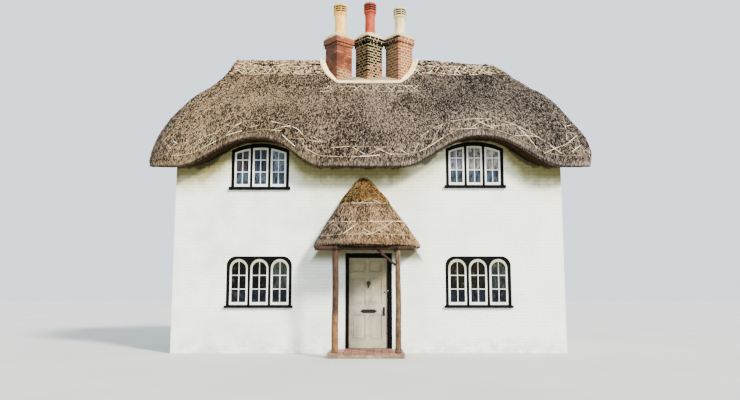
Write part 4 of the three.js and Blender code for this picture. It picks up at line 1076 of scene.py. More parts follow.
RIGHT_BAND = [
    [(390, 153.6), (405, 145)], [(413.6, 153.6), (417, 146), (423.6, 137)],
    [(420.7, 137), (432, 129), (444.3, 123.6)], [(432, 142.9), (437, 133), (442, 125)],
    [(449, 132), (455.7, 125), (466.4, 120)], [(451.4, 121.4), (464.3, 119.3)],
    [(471.4, 127), (480, 122), (490, 119.3)], [(478.6, 121.4), (493.6, 128.6)],
    [(490, 126.4), (512.9, 124.3)], [(464.3, 119.5), (478, 118.6), (492.9, 119.3), (511.4, 123.6)],
    [(511.4, 123.6), (527, 130.7), (555.7, 147.9)], [(518.6, 127.9), (528, 137), (537, 148.6)],
    [(514.3, 135.7), (526, 135.4), (538.6, 137)],
    [(458.6, 129.3), (481.4, 127.9), (501.4, 131.4), (511.4, 135)],
    [(543.6, 153.6), (555, 148.5), (567, 144.3), (577, 135)], [(550, 145.7), (561.4, 153.6)],
    [(544.3, 152), (561.4, 155.7), (581.4, 155.7)], [(562.9, 116.4), (565.5, 128), (567, 140.7)],
    [(565.7, 126.4), (572, 125)], [(567, 132), (577, 135)], [(575.7, 135), (579.5, 145), (581.4, 155)],
    [(567.9, 145), (577, 152)], [(571.4, 152), (581.4, 145)],
    [(418.6, 152), (432, 145), (445.7, 135.7), (458.6, 129.3)], [(392, 154), (405, 154.5), (418.6, 152)],
    [(398, 149), (409, 154.5)], [(512, 135.5), (528, 144), (544.3, 152)], [(425, 150), (437, 138)],
]
# Bands of crossed rods between two rows of pixels, each over a span of columns
APRON_ROWS = (86, 91.5)
APRON_SPAN = (321, 418)
RIDGE_ROWS = (66.5, 74)
LEFT_RIDGE_SPAN = (235, 317)
RIGHT_RIDGE_SPAN = (415, 504)
CROSS_PITCH = 6.4


def sight(pixel):
    """The direction in which the camera sees a pixel."""
    across = (pixel[0] - PHOTO_MIDDLE[0]) / FOCAL_PIXELS
    up = (PHOTO_MIDDLE[1] - pixel[1]) / FOCAL_PIXELS
    return Vector((across, cos(TILT) - up * sin(TILT), sin(TILT) + up * cos(TILT)))


def tree_of(grid, closed=False):
    return BVHTree.FromPolygons(grid.reshape(-1, 3).tolist(), grid_faces(*grid.shape[:2], closed).tolist())


def rod_path(tree, pixels, side):
    """Points on the thatch under a line of pixels, seen from the camera or from its mirror place behind."""
    pixels = np.array(pixels, float)
    knots = distances(pixels)
    at = np.linspace(0, knots[-1], max(4, int(knots[-1] / ROD_STEP_PIXELS)))
    line = np.stack([np.interp(at, knots, values) for values in pixels.T], -1)
    for _ in range(3):
        line[1:-1] = (line[:-2] + 2 * line[1:-1] + line[2:]) / 4
    path = []
    for pixel in line:
        start, way = EYE.copy(), sight(pixel)
        if side > 0:
            start.y, way.y = -start.y, -way.y
        hit, normal, _, _ = tree.ray_cast(start, way)
        if hit is not None:
            normal = normal if normal.dot(way) < 0 else -normal
            path.append(hit + normal * ROD_RADIUS * 0.9)
    return np.array(path)


def add_rod(shape, path, radius, draw):
    """A rod as worn lengths, paler or darker than the next, each with a thin near-black rod under it as
    painted shadow in its crease.
    """
    step = float(np.linalg.norm(path[1] - path[0])) or 0.02
    start = 0
    while start < len(path) - 2:
        count = max(3, int(draw.uniform(0.15, 0.55) / step))
        length = path[start:start + count + 1]
        if len(length) > 2:
            sunk = length - (0, 0, draw.uniform(0, 0.004))
            thick = radius * draw.uniform(0.6, 1.15)
            shape.add(*swept(sunk, thick, 5), tone=draw.uniform(0.1, 1.0))
            # A thinner near-black rod just below: painted shadow in the crease under the rod
            shape.add(*swept(sunk - (0, 0, thick * 1.5), thick * 0.8, 3), tone=-0.6)
        start += count + (1 if draw.uniform() < 0.3 else 0)


def add_rods(shape, tree, lines, draw, side=-1, radius=ROD_RADIUS, out=0.0):
    """Rods along lines of pixels, moved out to the front where they lie on a further layer."""
    for pixels in lines:
        path = rod_path(tree, pixels, side)
        if len(path) > 2:
            add_rod(shape, path - (0, out, 0), radius, draw)


def zigzag(left, right, top, bottom, seed):
    """Crossed rods between two lines of pixels, uneven and partly lost, with short lengths of the lines."""
    draw = np.random.default_rng(seed)
    rods = []
    count = int((right - left) / CROSS_PITCH)
    edges = np.linspace(left, right, count + 1)
    for line in (top, bottom):
        rods += [[(a - 1, line + draw.uniform(-0.8, 0.8)), (b + 1, line + draw.uniform(-0.8, 0.8))]
                 for a, b in zip(edges[:-1], edges[1:]) if draw.uniform() < 0.6]
    for i in range(count):
        start = left + i * CROSS_PITCH + draw.uniform(-1, 1)
        end = start + CROSS_PITCH * draw.uniform(0.8, 1.25)
        if draw.uniform() < 0.85:
            rods.append([(start, bottom + draw.uniform(-1, 0.5)), (end, top + draw.uniform(-0.5, 1))])
        if draw.uniform() < 0.7:
            rods.append([(start, top), (end, bottom)])
    return rods


def thatch_rods():
    """Rods on the coat, front and back, under the ridge layer and over the eyebrows."""
    tree = tree_of(ROOF_SURFACE, closed=True)
    apron = zigzag(*APRON_SPAN, *APRON_ROWS, 51)
    draw = np.random.default_rng(54)
    for name, side in (("front", -1), ("back", 1)):
        shape = Shape()
        add_rods(shape, tree, [*LEFT_BAND, *RIGHT_BAND, *apron], draw, side)
        make(name + "_rods", shape, RODS, "thatch", smooth=True)


def ridge_rods(name, cap, span, seed):
    """Rods on one part of the ridge layer, front and back."""
    draw = np.random.default_rng(seed)
    tree = BVHTree.FromObject(cap, bpy.context.evaluated_depsgraph_get())
    shape = Shape()
    for side in (-1, 1):
        add_rods(shape, tree, zigzag(*span, *RIDGE_ROWS, seed + 1), draw, side)
    make(name, shape, RODS, "thatch", smooth=True)


# Chimney stacks, brick by brick

BRICK_LENGTH = 0.215
BRICK_WIDTH = 0.1025
JOINT = 0.011
# Courses counted from the foot: the plain shaft, a projecting one, and the two of the cap
SHAFT_COURSES = range(2, 19)
LOW_COURSE = 19
CAP_COURSES = (20, 21)
COURSE_COUNT = 21
MORTAR_RECESS = 0.003
FLAUNCHING_RINGS = 9
FLAUNCHING_COLUMNS = 48
FLAUNCHING_FOOT = CAP_TOP - JOINT - 0.004


def course_lengths(side):
    """Brick lengths along one side of a course: stretcher, header and closer, less the corner header."""
    free = side - BRICK_WIDTH - BRICK_LENGTH - BRICK_WIDTH - 3 * JOINT
    return [(BRICK_LENGTH, "stretcher"), (BRICK_WIDTH, "header"), (free, "closer")]


def brick_marks(stack, face, kind, course, draw):
    """Tone, pale bloom and soot of one brick. Each stack has weathered in its own way. The shaded faces get a
    darker tone and more soot, the lit faces a lighter one: partly painted light and shade.
    """
    lit = face in (0, 1)
    height = course / COURSE_COUNT
    # Painted light and shade, partly the bricks' own colour: a lighter tone on the two lit faces, a darker
    # one on the shaded faces
    tone = draw.normal(0.64 if lit else 0.28, 0.11)
    pale, soot = draw.uniform(0, 0.12), draw.uniform(0, 0.15)
    if stack == 0:
        tone += 0.10 if course in CAP_COURSES else (0.08 if lit else -0.02)
        smear = np.exp(-((height - 0.62 - (0.12 if kind == "header" else 0)) / 0.14) ** 2)
        if lit and course < LOW_COURSE:
            soot += 0.75 * smear * draw.uniform(0.3, 1)
        # More soot on the shaded faces: partly painted shade
        if not lit and course not in CAP_COURSES:
            soot += 0.20 * draw.uniform()
    if stack == 1:
        black = (0.45 if lit else 0.3) + 0.45 * smoothstep(height, 0.4, 0.8)
        if kind == "header" or course >= LOW_COURSE:
            black = 0.95
        soot = draw.uniform(1.0, 1.2) if draw.uniform() < black else draw.uniform(0.1, 0.4)
        tone += 0.1 * (1 - height)
    if stack == 2:
        tone += 0.04 if lit else 0.02
        pale = draw.uniform(0.0, 0.15 if lit else 0.12)
        # More soot on the shaded faces of the top courses: partly painted shade
        soot = draw.uniform(0.3, 0.8) if course >= LOW_COURSE and not lit else soot * 0.6
    return dict(tone=np.clip(tone, 0.02, 0.98), pale=pale, soot=soot)


def mortar_marks(stack, course, points, half):
    """How sooty the joints of one course are, and how far they are hidden, on each face of the stack. On the
    shaded faces, more soot and hiding are partly painted shade.
    """
    lit = (points[:, 1] < -half + 0.001) | (points[:, 0] > half - 0.001)
    height = course / COURSE_COUNT
    # On the shaded faces more soot and more hidden joints: partly painted shade
    if stack == 0:
        hidden = np.where(lit, smoothstep(height, 0.42, 0.52), 0.85)
        soot = np.where(lit, 0.05 + 0.25 * (height > 0.5), 0.55)
        return dict(hidden=hidden, soot=0.1 if course in CAP_COURSES else soot)
    if stack == 1:
        return dict(hidden=0.0, soot=np.where(lit, 0.22, 0.45))
    return dict(hidden=np.where(lit, 0.0, 0.1), soot=np.where(lit, 0.0, 0.30 if course < LOW_COURSE else 0.5))


def add_course(shape, stack, course, low, high, side, place, draw):
    """One course of bricks round a square, pinwheeled the other way in every second course."""
    half = side / 2
    mirror = -1 if course % 2 else 1
    for face in range(4):
        start = -half
        for length, kind in course_lengths(side):
            inset = draw.uniform(0, 0.0025)
            points, faces = block((start, -half + inset, low), (start + length, -half + BRICK_WIDTH, high))
            marks = brick_marks(stack, face, kind, course, draw)
            shape.add(place(points * (mirror, 1, 1) @ rotation(face * pi / 2)), faces, **marks)
            start += length + JOINT


def flaunching(place, cap_side, stack):
    """The cement on a stack's cap, rounded up from a square foot to the pot."""
    turn = circle(FLAUNCHING_COLUMNS)
    direction = np.stack([np.cos(turn), np.sin(turn)], -1)
    square = direction / np.abs(direction).max(axis=1, keepdims=True) * (cap_side / 2 - 0.010)
    round_top = direction * (POTS[stack][2] + 0.045)
    rings = []
    for share in np.linspace(0, 1, FLAUNCHING_RINGS):
        plan = square + (round_top - square) * share
        height = FLAUNCHING_FOOT + (FLAUNCHING_HEIGHT + JOINT + 0.006) * np.sin(share * pi / 2) ** 0.7
        wave = 0.005 * noise(np.column_stack([plan * 14, np.full(len(plan), stack * 5.0)]), 81)
        rings.append(np.column_stack([plan, height + wave * (0 < share < 1)]))
    shape = Shape()
    shape.add(place(np.concatenate(rings)), tube_faces(FLAUNCHING_RINGS, FLAUNCHING_COLUMNS), cream=0.45)
    return shape


def chimney_stack(stack, name):
    """One stack: shaft, a projecting course, a cap of two courses, its joints and its flaunching."""
    def place(points):
        return points @ rotation(STACK_ANGLE) + ((stack - 1) * STACK_PITCH, 0, 0)
    draw = np.random.default_rng(70 + stack)
    low_side = STACK_SIDE + 2 * LOW_COURSE_PROJECTION
    cap_side = STACK_SIDE + 2 * CAP_PROJECTION
    shaft_top = STACK_TOP - LOW_COURSE_HEIGHT
    rows = [(course, shaft_top + (course - LOW_COURSE) * COURSE, COURSE, STACK_SIDE)
            for course in SHAFT_COURSES]
    rows.append((LOW_COURSE, shaft_top, LOW_COURSE_HEIGHT, low_side))
    rows += [(course, STACK_TOP + k * CAP_COURSE, CAP_COURSE, cap_side)
             for k, course in enumerate(CAP_COURSES)]
    bricks, mortar = Shape(), Shape()
    for course, low, tall, side in rows:
        add_course(bricks, stack, course, low, low + tall - JOINT, side, place, draw)
        half = side / 2 - MORTAR_RECESS
        foot = low if course == CAP_COURSES[0] else low - JOINT
        foot = STACK_FOOT if course == SHAFT_COURSES[0] else foot
        points, faces = block((-half, -half, foot), (half, half, low + tall - JOINT - 0.002), 0.002)
        mortar.add(place(points), faces, **mortar_marks(stack, course, points, half))
    make(name + "_bricks", bricks, BRICK, "brick", name)
    make(name + "_joints", mortar, MORTAR, "cement")
    make(name + "_flaunching", flaunching(place, cap_side, stack), CEMENT, "cement", smooth=True)


# Pots: name, height, shaft radius, head radius
POTS = [("left_pot", 0.859, 0.142, 0.182), ("middle_pot", 0.902, 0.134, 0.172),
        ("right_pot", 0.771, 0.141, 0.180)]
POT_OFFSET = 0.032
POT_BASE = CAP_TOP + FLAUNCHING_HEIGHT + CONTACT_GAP
HEAD_HEIGHT = 0.300
RIM = 0.036
RIBS = 6
RIB_HALF = 0.005
FIRST_RIB = 0.2 - pi / 2
SLOTS = 3
SLOT_PITCH = 0.060
SLOT_HEIGHT = 0.046


def pot(stack, material, slot):
    """A clay pot: a tapered shaft, a flared head of rings with slots between them, and a domed lid."""
    name, height, radius, head = POTS[stack]
    middle = ((stack - 1) * STACK_PITCH + POT_OFFSET, 0, POT_BASE)
    foot = height - HEAD_HEIGHT
    deep = head - 0.024
    shape = Shape()
    shaft = [(radius + 0.016, 0), (radius + 0.016, 0.03), (radius + 0.004, 0.07),
             (radius - 0.002, foot * 0.5), (radius, foot - 0.075), (radius + 0.012, foot - 0.062),
             (radius + 0.012, foot - 0.045), (radius + 0.001, foot - 0.036), (head - 0.012, foot - 0.006),
             (head, foot + 0.006), (head, foot + 0.030), (head - 0.006, foot + RIM), (deep, foot + RIM)]
    shape.add(*turned(shaft, middle))
    slots = [foot + RIM + k * SLOT_PITCH for k in range(SLOTS)]
    for low in slots[1:]:
        below = low - (SLOT_PITCH - SLOT_HEIGHT)
        ring = [(deep, below), (head - 0.004, below), (head, below + 0.004), (head, low - 0.004),
                (head - 0.004, low), (deep, low)]
        shape.add(*turned(ring, middle))
    brow = slots[-1] + SLOT_HEIGHT
    dome_foot = brow + 0.03
    dome = [(head * 0.98 * cos(angle), dome_foot + (height - dome_foot) * sin(angle))
            for angle in np.linspace(0.1, 1.52, 8)]
    shape.add(*turned([(deep, brow), (head - 0.004, brow), (head, brow + 0.006), *dome], middle))
    rib, faces = block((deep - 0.01, -RIB_HALF, foot + 0.03), (head - 0.012, RIB_HALF, brow + 0.01), 0.003)
    for angle in circle(RIBS):
        shape.add(rib @ rotation(angle + FIRST_RIB) + middle, faces)
    make(name + "_clay", shape, material, slot, name)
    # The dark core, sooty inside and painted shade, seen through the slots
    core = Shape()
    core.add(*turned([(deep - 0.003, foot + 0.02), (deep - 0.003, brow + 0.02)], middle))
    make(name + "_flue", core, FLUE_SOOT_AND_SHADE, slot)


# The base of the stacks: weathered cement behind a limewashed lip, with an arm up to the ridge at each side

ARM_STRIP = 0.150
# The arms start between these two distances from the middle
ARM_START = (0.74, 0.92)
# The top between the stacks, as distance from the ridge line and height
BASE_TOP = [(0.0, 6.992), (0.36, 6.808), (0.405, 6.775), (0.478, 6.690)]
# The lip's section, as distance outward, height over its line, and how far it is painted near-black as the
# shadow under its drip
LIP_SECTION = np.array([
    (-0.045, -0.09, 1), (0.004, -0.09, 1), (0.006, -0.042, 1), (0.020, -0.036, 0),
    (0.018, 0.020, 0), (0.0, 0.036, 0), (-0.030, 0.034, 0), (-0.048, 0.012, 0),
])


def slope_height(depth):
    """Height of the thatch at a distance from the ridge line."""
    rows = ROOF_ROWS[:14]
    return np.interp(depth, rows[:, 1], rows[:, 0])


def base_height(x, y):
    """Height of the base's top. Behind the strip along an arm's edge it is level up to the stack."""
    x, y = np.abs(x), np.abs(y)
    middle = np.interp(y, *np.array(BASE_TOP).T)
    out = np.clip((x + ARM_STRIP - BASE_STRAIGHT) / (BASE_REACH - BASE_STRAIGHT), 0, 1)
    strip = BASE_DEPTH * np.sqrt(1 - out ** (2 / ARM_FLARE))
    arm = slope_height(np.maximum(y, strip)) + 0.045
    return middle + (arm - middle) * smoothstep(x, *ARM_START)


def base_line(arm_steps=26, front_steps=48):
    """The lip's line in plan, from the left end on the ridge round the front to the right end."""
    turn = np.linspace(0, pi / 2, arm_steps)
    arm_x = BASE_STRAIGHT + (BASE_REACH - 0.02 - BASE_STRAIGHT) * np.cos(turn) ** ARM_FLARE
    arm_y = -BASE_DEPTH * np.sin(turn)
    front = np.linspace(-BASE_STRAIGHT, BASE_STRAIGHT, front_steps)[1:-1]
    x = np.concatenate([-arm_x, front, arm_x[::-1]])
    y = np.concatenate([arm_y, np.full(len(front), -BASE_DEPTH), arm_y[::-1]])
    return np.stack([x, y], -1)


def base_top(plan):
    """Points of the base's top, from the ridge line out to its line in plan."""
    share = np.linspace(0, 1, 20)[:, None, None]
    grid = plan * np.concatenate([np.ones_like(share), share], -1)
    height = base_height(grid[..., 0], grid[..., 1])[..., None]
    bumps = 0.006 * noise(np.concatenate([grid * 11, height * 3], -1), 83)
    return np.concatenate([grid, height + bumps[..., None] - 0.012], -1)


def base_lip(plan, side):
    """Points of the lip: its section at each point of the base's line."""
    out, up, _ = LIP_SECTION.T
    along = unit(np.gradient(plan, axis=0))
    outward = np.stack([along[:, 1], -along[:, 0]], -1) * side
    height = base_height(plan[:, 0], plan[:, 1])
    wave = 0.004 * noise(np.column_stack([plan * 9, height * 9]), 84)
    ring = plan[:, None] + outward[:, None] * out[:, None]
    return np.concatenate([ring, ((height + wave)[:, None] + up)[..., None]], -1)


def chimney_base():
    """The base's top and its lip, front and back."""
    shape = Shape()
    for side in (1, -1):
        plan = base_line() * (1, side)
        top = base_top(plan)
        cream = np.where(np.abs(top[..., 0]) > BASE_STRAIGHT + 0.06, 0.9, 0.12)
        shape.add(top, [grid_faces(*top.shape[:2])], cream=cream, soot=0.0)
        lip = base_lip(plan, side)
        # Painted shadow: the lip's lowest band, under its drip, takes the soot mark
        soot = np.broadcast_to(LIP_SECTION[:, 2], lip.shape[:2])
        shape.add(lip, tube_faces(*lip.shape[:2]), cream=1.0, soot=soot)
    make("chimney_base_cement", shape, CEMENT, "cement", "chimney_base", smooth=True)


# Windows: depths of the frame, the casements, their bars and the panes, and widths of what divides them

HALF_WIDTH = {"upper": 0.657, "lower": 0.730}
SILL_HEIGHT = {"upper": 0.070, "lower": 0.055}
SILL_OVERHANG = {"upper": 0.037, "lower": 0.030}
SILL_DEPTH = 0.062
WINDOW_FRONT, WINDOW_BACK = -2.228, -2.166
CASEMENT_FRONT, CASEMENT_BACK = -2.219, -2.178
PANE_FRONT, PANE_BACK = -2.199, -2.195
BAR_FRONT, BAR_BACK = -2.213, PANE_BACK + 0.008
POST = 0.071
MULLION = 0.054
STILE = 0.040
BAR = 0.016
BOTTOM_RAIL = 0.060
CASEMENT_GAP = 0.0015
# How far bars and panes run into what holds them
BAR_BITE = 0.004
PANE_BITE = 0.006
WINDOWS = [("upper_left", "upper", -2.46, 3.616), ("upper_right", "upper", 2.405, 3.656),
           ("lower_left", "lower", -2.436, 0.985), ("lower_right", "lower", 2.436, 0.985)]
# Heights above the foot of the sill of the two cross bars
CROSS_BARS = {"upper_left": (0.419, 0.697), "upper_right": (0.429, 0.706),
              "lower_left": (0.413, 0.715), "lower_right": (0.413, 0.715)}
# Heads of the upper windows, as height of the springing and rise over it
UPPER_HEADS = {"frame": (0.920, 0.158), "casement": (0.866, 0.118), "glass": (0.846, 0.090)}
# Heads of the lower windows: the frame's height over the sill and its corner, and each light's top and rise
LOWER_FRAME_HEAD = (1.085, 0.21)
LOWER_CASEMENT_HEAD = (1.082, 0.205)
LOWER_GLASS_HEAD = (1.020, 0.165)
# Painted colours of what a casement can show: a dark room in shade, a curtain, and as painted reflections the
# sky and what stands before the house
VIEWS = {
    "dark": "#040302", "umber": "#100c04", "night": "#0f131b", "teal": "#232826", "brown": "#2d2b2c",
    "deep": "#202c37", "slate": "#303b46", "sky": "#566270", "lilac": "#66646a", "beige": "#767069",
    "pale": "#888379",
}
# Each casement stands at its own angle and shows one painted view. Along their foot all those of a storey are
# alike.
CASEMENT_VIEWS = {
    "upper_left": ("brown", "deep", "sky"), "upper_right": ("lilac", "beige", "pale"),
    "lower_left": ("dark", "dark", "teal"), "lower_right": ("umber", "umber", "teal"),
}
FOOT_VIEWS = {"upper": "slate", "lower": "night"}


def arch_top(half, spring, rise):
    """Height of a shallow arch over the middle of a window, as a function of x."""
    radius = (half * half + rise * rise) / (2 * rise)
    return lambda x: spring + rise - radius + np.sqrt(np.maximum(radius ** 2 - x ** 2, 0))


def cornered_top(half, top, corner):
    """Height of a flat head with rounded corners."""
    def height(x):
        over = np.clip(np.abs(x) - (half - corner), 0, corner)
        return top - corner + np.sqrt(corner ** 2 - over ** 2)
    return height


def round_top(left, right, top, rise):
    """Height of a half ellipse from side to side."""
    middle, half = (left + right) / 2, (right - left) / 2
    return lambda x: top - rise + rise * np.sqrt(np.maximum(1 - ((x - middle) / half) ** 2, 0))


def level_top(height):
    return lambda x: np.full(len(x), height)


def outline(left, right, bottom, top, steps):
    """A closed outline in X and Z, with the given top, its steps closer near both ends."""
    turn = np.linspace(0, pi, steps)
    x = (left + right) / 2 + (right - left) / 2 * np.cos(turn)
    return np.concatenate([[[left, bottom], [right, bottom]], np.column_stack([x, top(x)])])


def upper_top(part):
    """The arch over the three lights of an upper window: the frame's, the casements' or the glass's."""
    margin = {"frame": 0, "casement": POST, "glass": POST + STILE}[part]
    return arch_top(HALF_WIDTH["upper"] - margin, *UPPER_HEADS[part])


def light_width(kind):
    return (2 * (HALF_WIDTH[kind] - POST) - 2 * MULLION) / 3


def window_lights(kind):
    """The three casements of a window: left, right, bottom, casement top and glass top."""
    bottom = SILL_HEIGHT[kind] + 0.010
    lights = []
    for index in range(3):
        left = -HALF_WIDTH[kind] + POST + index * (light_width(kind) + MULLION)
        right = left + light_width(kind)
        tops = upper_top("casement"), upper_top("glass")
        if kind == "lower":
            tops = (round_top(left, right, *LOWER_CASEMENT_HEAD),
                    round_top(left + STILE, right - STILE, *LOWER_GLASS_HEAD))
        lights.append((left, right, bottom, *tops))
    return lights


def add_upper_frame(shape):
    """One arched frame, with two mullions in it."""
    half, sill = HALF_WIDTH["upper"], SILL_HEIGHT["upper"]
    head = upper_top("casement")
    outer = outline(-half, half, sill, upper_top("frame"), 34)
    inner = outline(-half + POST, half - POST, sill + 0.01, head, 34)
    shape.add(*ring_prism(outer, inner, WINDOW_FRONT, WINDOW_BACK))
    for side in (-1, 1):
        middle = side * (light_width("upper") + MULLION) / 2
        low = (middle - MULLION / 2, WINDOW_FRONT - 0.002, sill)
        shape.add(*block(low, (middle + MULLION / 2, WINDOW_BACK, head(middle) + 0.01)))


def add_lower_frame(shape):
    """A frame round each light, under one head with rounded corners."""
    half, sill = HALF_WIDTH["lower"], SILL_HEIGHT["lower"]
    rise, corner = LOWER_FRAME_HEAD
    lights = window_lights("lower")
    for index, (left, right, bottom, head, _) in enumerate(lights):
        edge_left = left - (POST if index == 0 else MULLION / 2)
        edge_right = right + (POST if index == len(lights) - 1 else MULLION / 2)
        outer = outline(edge_left, edge_right, sill, cornered_top(half, sill + rise, corner), 30)
        inner = outline(left, right, bottom - 0.002, head, 30)
        shape.add(*ring_prism(outer, inner, WINDOW_FRONT, WINDOW_BACK))


def add_sill(kind, shape):
    half, sill, over = HALF_WIDTH[kind], SILL_HEIGHT[kind], SILL_OVERHANG[kind]
    shape.add(*block((-half - over, WALL_FACE - SILL_DEPTH, 0), (half + over, WALL_FACE, sill), 0.006))
    shape.add(*block((-half, WALL_FACE - 0.0047, 0.002), (half, WINDOW_BACK, sill + 0.004), 0.003))


def add_pane(shape, left, right, low, top, view, draw):
    """One pane, set slightly out of true."""
    points, faces = plate(outline(left, right, low, top, 8), PANE_FRONT, PANE_BACK)
    tilt = draw.normal(0, 0.010, 2)
    points[:, 1] += (points - points.mean(axis=0))[:, [0, 2]] @ tilt
    shape.add(points, faces, view=paint(VIEWS[view])[:3])


def window_casements(kind, bars, views, shape, panes, draw):
    """Casements with a centre bar and two cross bars each, and a pane in each of the six places."""
    def add(points, faces):
        shape.add(points, faces, height=points[:, 2] / 0.98)
    for light, (left, right, bottom, head, glass_head) in enumerate(window_lights(kind)):
        inner_left, inner_right, inner_bottom = left + STILE, right - STILE, bottom + BOTTOM_RAIL
        casing = outline(left + CASEMENT_GAP, right - CASEMENT_GAP, bottom,
                         lambda x: head(x) - CASEMENT_GAP, 22)
        opening = outline(inner_left, inner_right, inner_bottom, glass_head, 22)
        add(*ring_prism(casing, opening, CASEMENT_FRONT, CASEMENT_BACK))
        middle = (left + right) / 2
        top = glass_head(middle) + BAR_BITE
        add(*block((middle - BAR / 2, BAR_FRONT, inner_bottom - BAR_BITE), (middle + BAR / 2, BAR_BACK, top)))
        for z in bars:
            add(*block((inner_left - BAR_BITE, BAR_FRONT + 0.001, z - BAR / 2),
                       (inner_right + BAR_BITE, BAR_BACK - 0.001, z + BAR / 2)))
        lows = [inner_bottom - PANE_BITE, *bars]

        def last_top(x):
            over = glass_head(np.clip(x, inner_left, inner_right)) + PANE_BITE
            return np.maximum(over, lows[-1] + 0.02)
        tops = [*map(level_top, bars), last_top]
        for row, (low, top) in enumerate(zip(lows, tops)):
            view = views[light] if row else FOOT_VIEWS[kind]
            add_pane(panes, inner_left - PANE_BITE, middle, low, top, view, draw)
            add_pane(panes, middle, inner_right + PANE_BITE, low, top, view, draw)


def windows():
    """Each window of the front, and the same one behind it at the back."""
    for name, kind, x, z in WINDOWS:
        for prefix, face in (("", 1), ("back_", -1)):
            draw = np.random.default_rng(int(abs(x) * 100 + z * 10 + face))
            timber, casements, panes = shapes = Shape(), Shape(), Shape()
            if kind == "upper":
                add_upper_frame(timber)
            else:
                add_lower_frame(timber)
            add_sill(kind, timber)
            window_casements(kind, CROSS_BARS[name], CASEMENT_VIEWS[name], casements, panes, draw)
            for shape in shapes:
                shape.points = [(points + (x, 0, z)) * (1, face, 1) for points in shape.points]
            make(prefix + name + "_frame", timber, BLACK_PAINT, "black_paint", prefix + name + "_window")
            make(prefix + name + "_casements", casements, CASEMENT_PAINT, "cream_paint")
            make(prefix + name + "_panes", panes, PANES, "window_glass", prefix + name + "_glass")


# Door

LEAF_LEFT, LEAF_RIGHT = -0.450, 0.447
LEAF_LOW, LEAF_HIGH = 0.105, 2.100
LEAF_FRONT, LEAF_BACK = -2.156, -2.111
PANEL_COLUMNS = [(-0.388, -0.068), (0.008, 0.298)]
PANEL_ROWS = [(0.270, 0.842), (1.062, 1.645), (1.774, 2.029)]
# A panel's board lies this deep, its raised field starts this far in, and its mouldings are this wide
PANEL_DEEP = 0.014
FIELD_INSET = 0.048
MOULDING = 0.011
# The mouldings round a panel: margin from its edge, depth below the leaf's face, and bevel
MOULDINGS = ((0.0, 0.001, 0.004), (0.012, 0.007, 0.003))
HINGE_LINE = (-0.4525, -2.091)
HINGE_HEIGHTS = (0.340, 1.100, 1.860)
HINGE_KNUCKLE = 0.045
HINGE_RADIUS = 0.008
LOCK_X, LOCK_Z, LOCK_RADIUS = 0.357, 1.329, 0.020
STOP_FRONT, STOP_BACK = -2.176, -2.1635
STOP_OUTER = 0.459
STOP_INNER_LEFT, STOP_INNER_RIGHT = -0.442, 0.412
STOP_LOW, STOP_UNDER, STOP_HIGH = 0.106, 2.092, 2.105
BELL_X, BELL_Z = 0.436, 1.364


def door_panel(left, right, low, high, shape):
    """One panel: a thin board in a moulded frame, with a raised field on both faces."""
    def inset(margin):
        return outline(left + margin, right - margin, low + margin, level_top(high - margin), 2)
    shape.add(*block((left - 0.002, LEAF_FRONT + PANEL_DEEP, low - 0.002),
                     (right + 0.002, LEAF_BACK - PANEL_DEEP, high + 0.002), 0.001))
    for face, inward in ((LEAF_FRONT, 1), (LEAF_BACK, -1)):
        board = face + inward * (PANEL_DEEP + 0.001)
        for margin, near, bevel in MOULDINGS:
            shape.add(*ring_prism(inset(margin), inset(margin + MOULDING), face + inward * near, board,
                                  inward * bevel))
        shape.add(*block((left + FIELD_INSET, face + inward * 0.004, low + FIELD_INSET),
                         (right - FIELD_INSET, board, high - FIELD_INSET), 0.006))


def front_turned(profile, x, face, z, segments):
    """A small turned body that looks to the front, let into a face."""
    points, faces = turned(profile, (0, 0, 0), segments)
    return points[:, [0, 2, 1]] * (1, -1, 1) + (x, face + 0.001, z), faces


def front_door():
    """A framed leaf with six fielded panels, and the leaf's share of the hinges."""
    shape = Shape()
    edges = [LEAF_LEFT, *np.ravel(PANEL_COLUMNS), LEAF_RIGHT]
    for left, right in zip(edges[::2], edges[1::2]):
        shape.add(*block((left, LEAF_FRONT, LEAF_LOW), (right, LEAF_BACK, LEAF_HIGH), 0.003))
    levels = [LEAF_LOW, *np.ravel(PANEL_ROWS), LEAF_HIGH]
    for low, high in zip(levels[::2], levels[1::2]):
        for left, right in PANEL_COLUMNS:
            shape.add(*block((left - 0.001, LEAF_FRONT, low), (right + 0.001, LEAF_BACK, high), 0.003))
    for low, high in PANEL_ROWS:
        for left, right in PANEL_COLUMNS:
            door_panel(left, right, low, high, shape)
    for height in HINGE_HEIGHTS:
        knuckle = np.linspace((*HINGE_LINE, height), (*HINGE_LINE, height + HINGE_KNUCKLE), 4)
        shape.add(*swept(knuckle, HINGE_RADIUS, 12))
        flap = (LEAF_LEFT + 0.0065, HINGE_LINE[1], height + HINGE_KNUCKLE)
        shape.add(*block((LEAF_LEFT + 0.0005, LEAF_BACK - 0.001, height), flap, 0.001))
    make("door_leaf", shape, DOOR_PAINT, "cream_paint", "front_door", body="front_door")
    lock = Shape()
    profile = [(LOCK_RADIUS, 0.0), (LOCK_RADIUS, 0.005), (LOCK_RADIUS * 0.7, 0.009), (0.0, 0.009)]
    lock.add(*front_turned(profile, LOCK_X, LEAF_FRONT, LOCK_Z, 24))
    make("door_lock", lock, IRON, "black_iron", body="front_door")


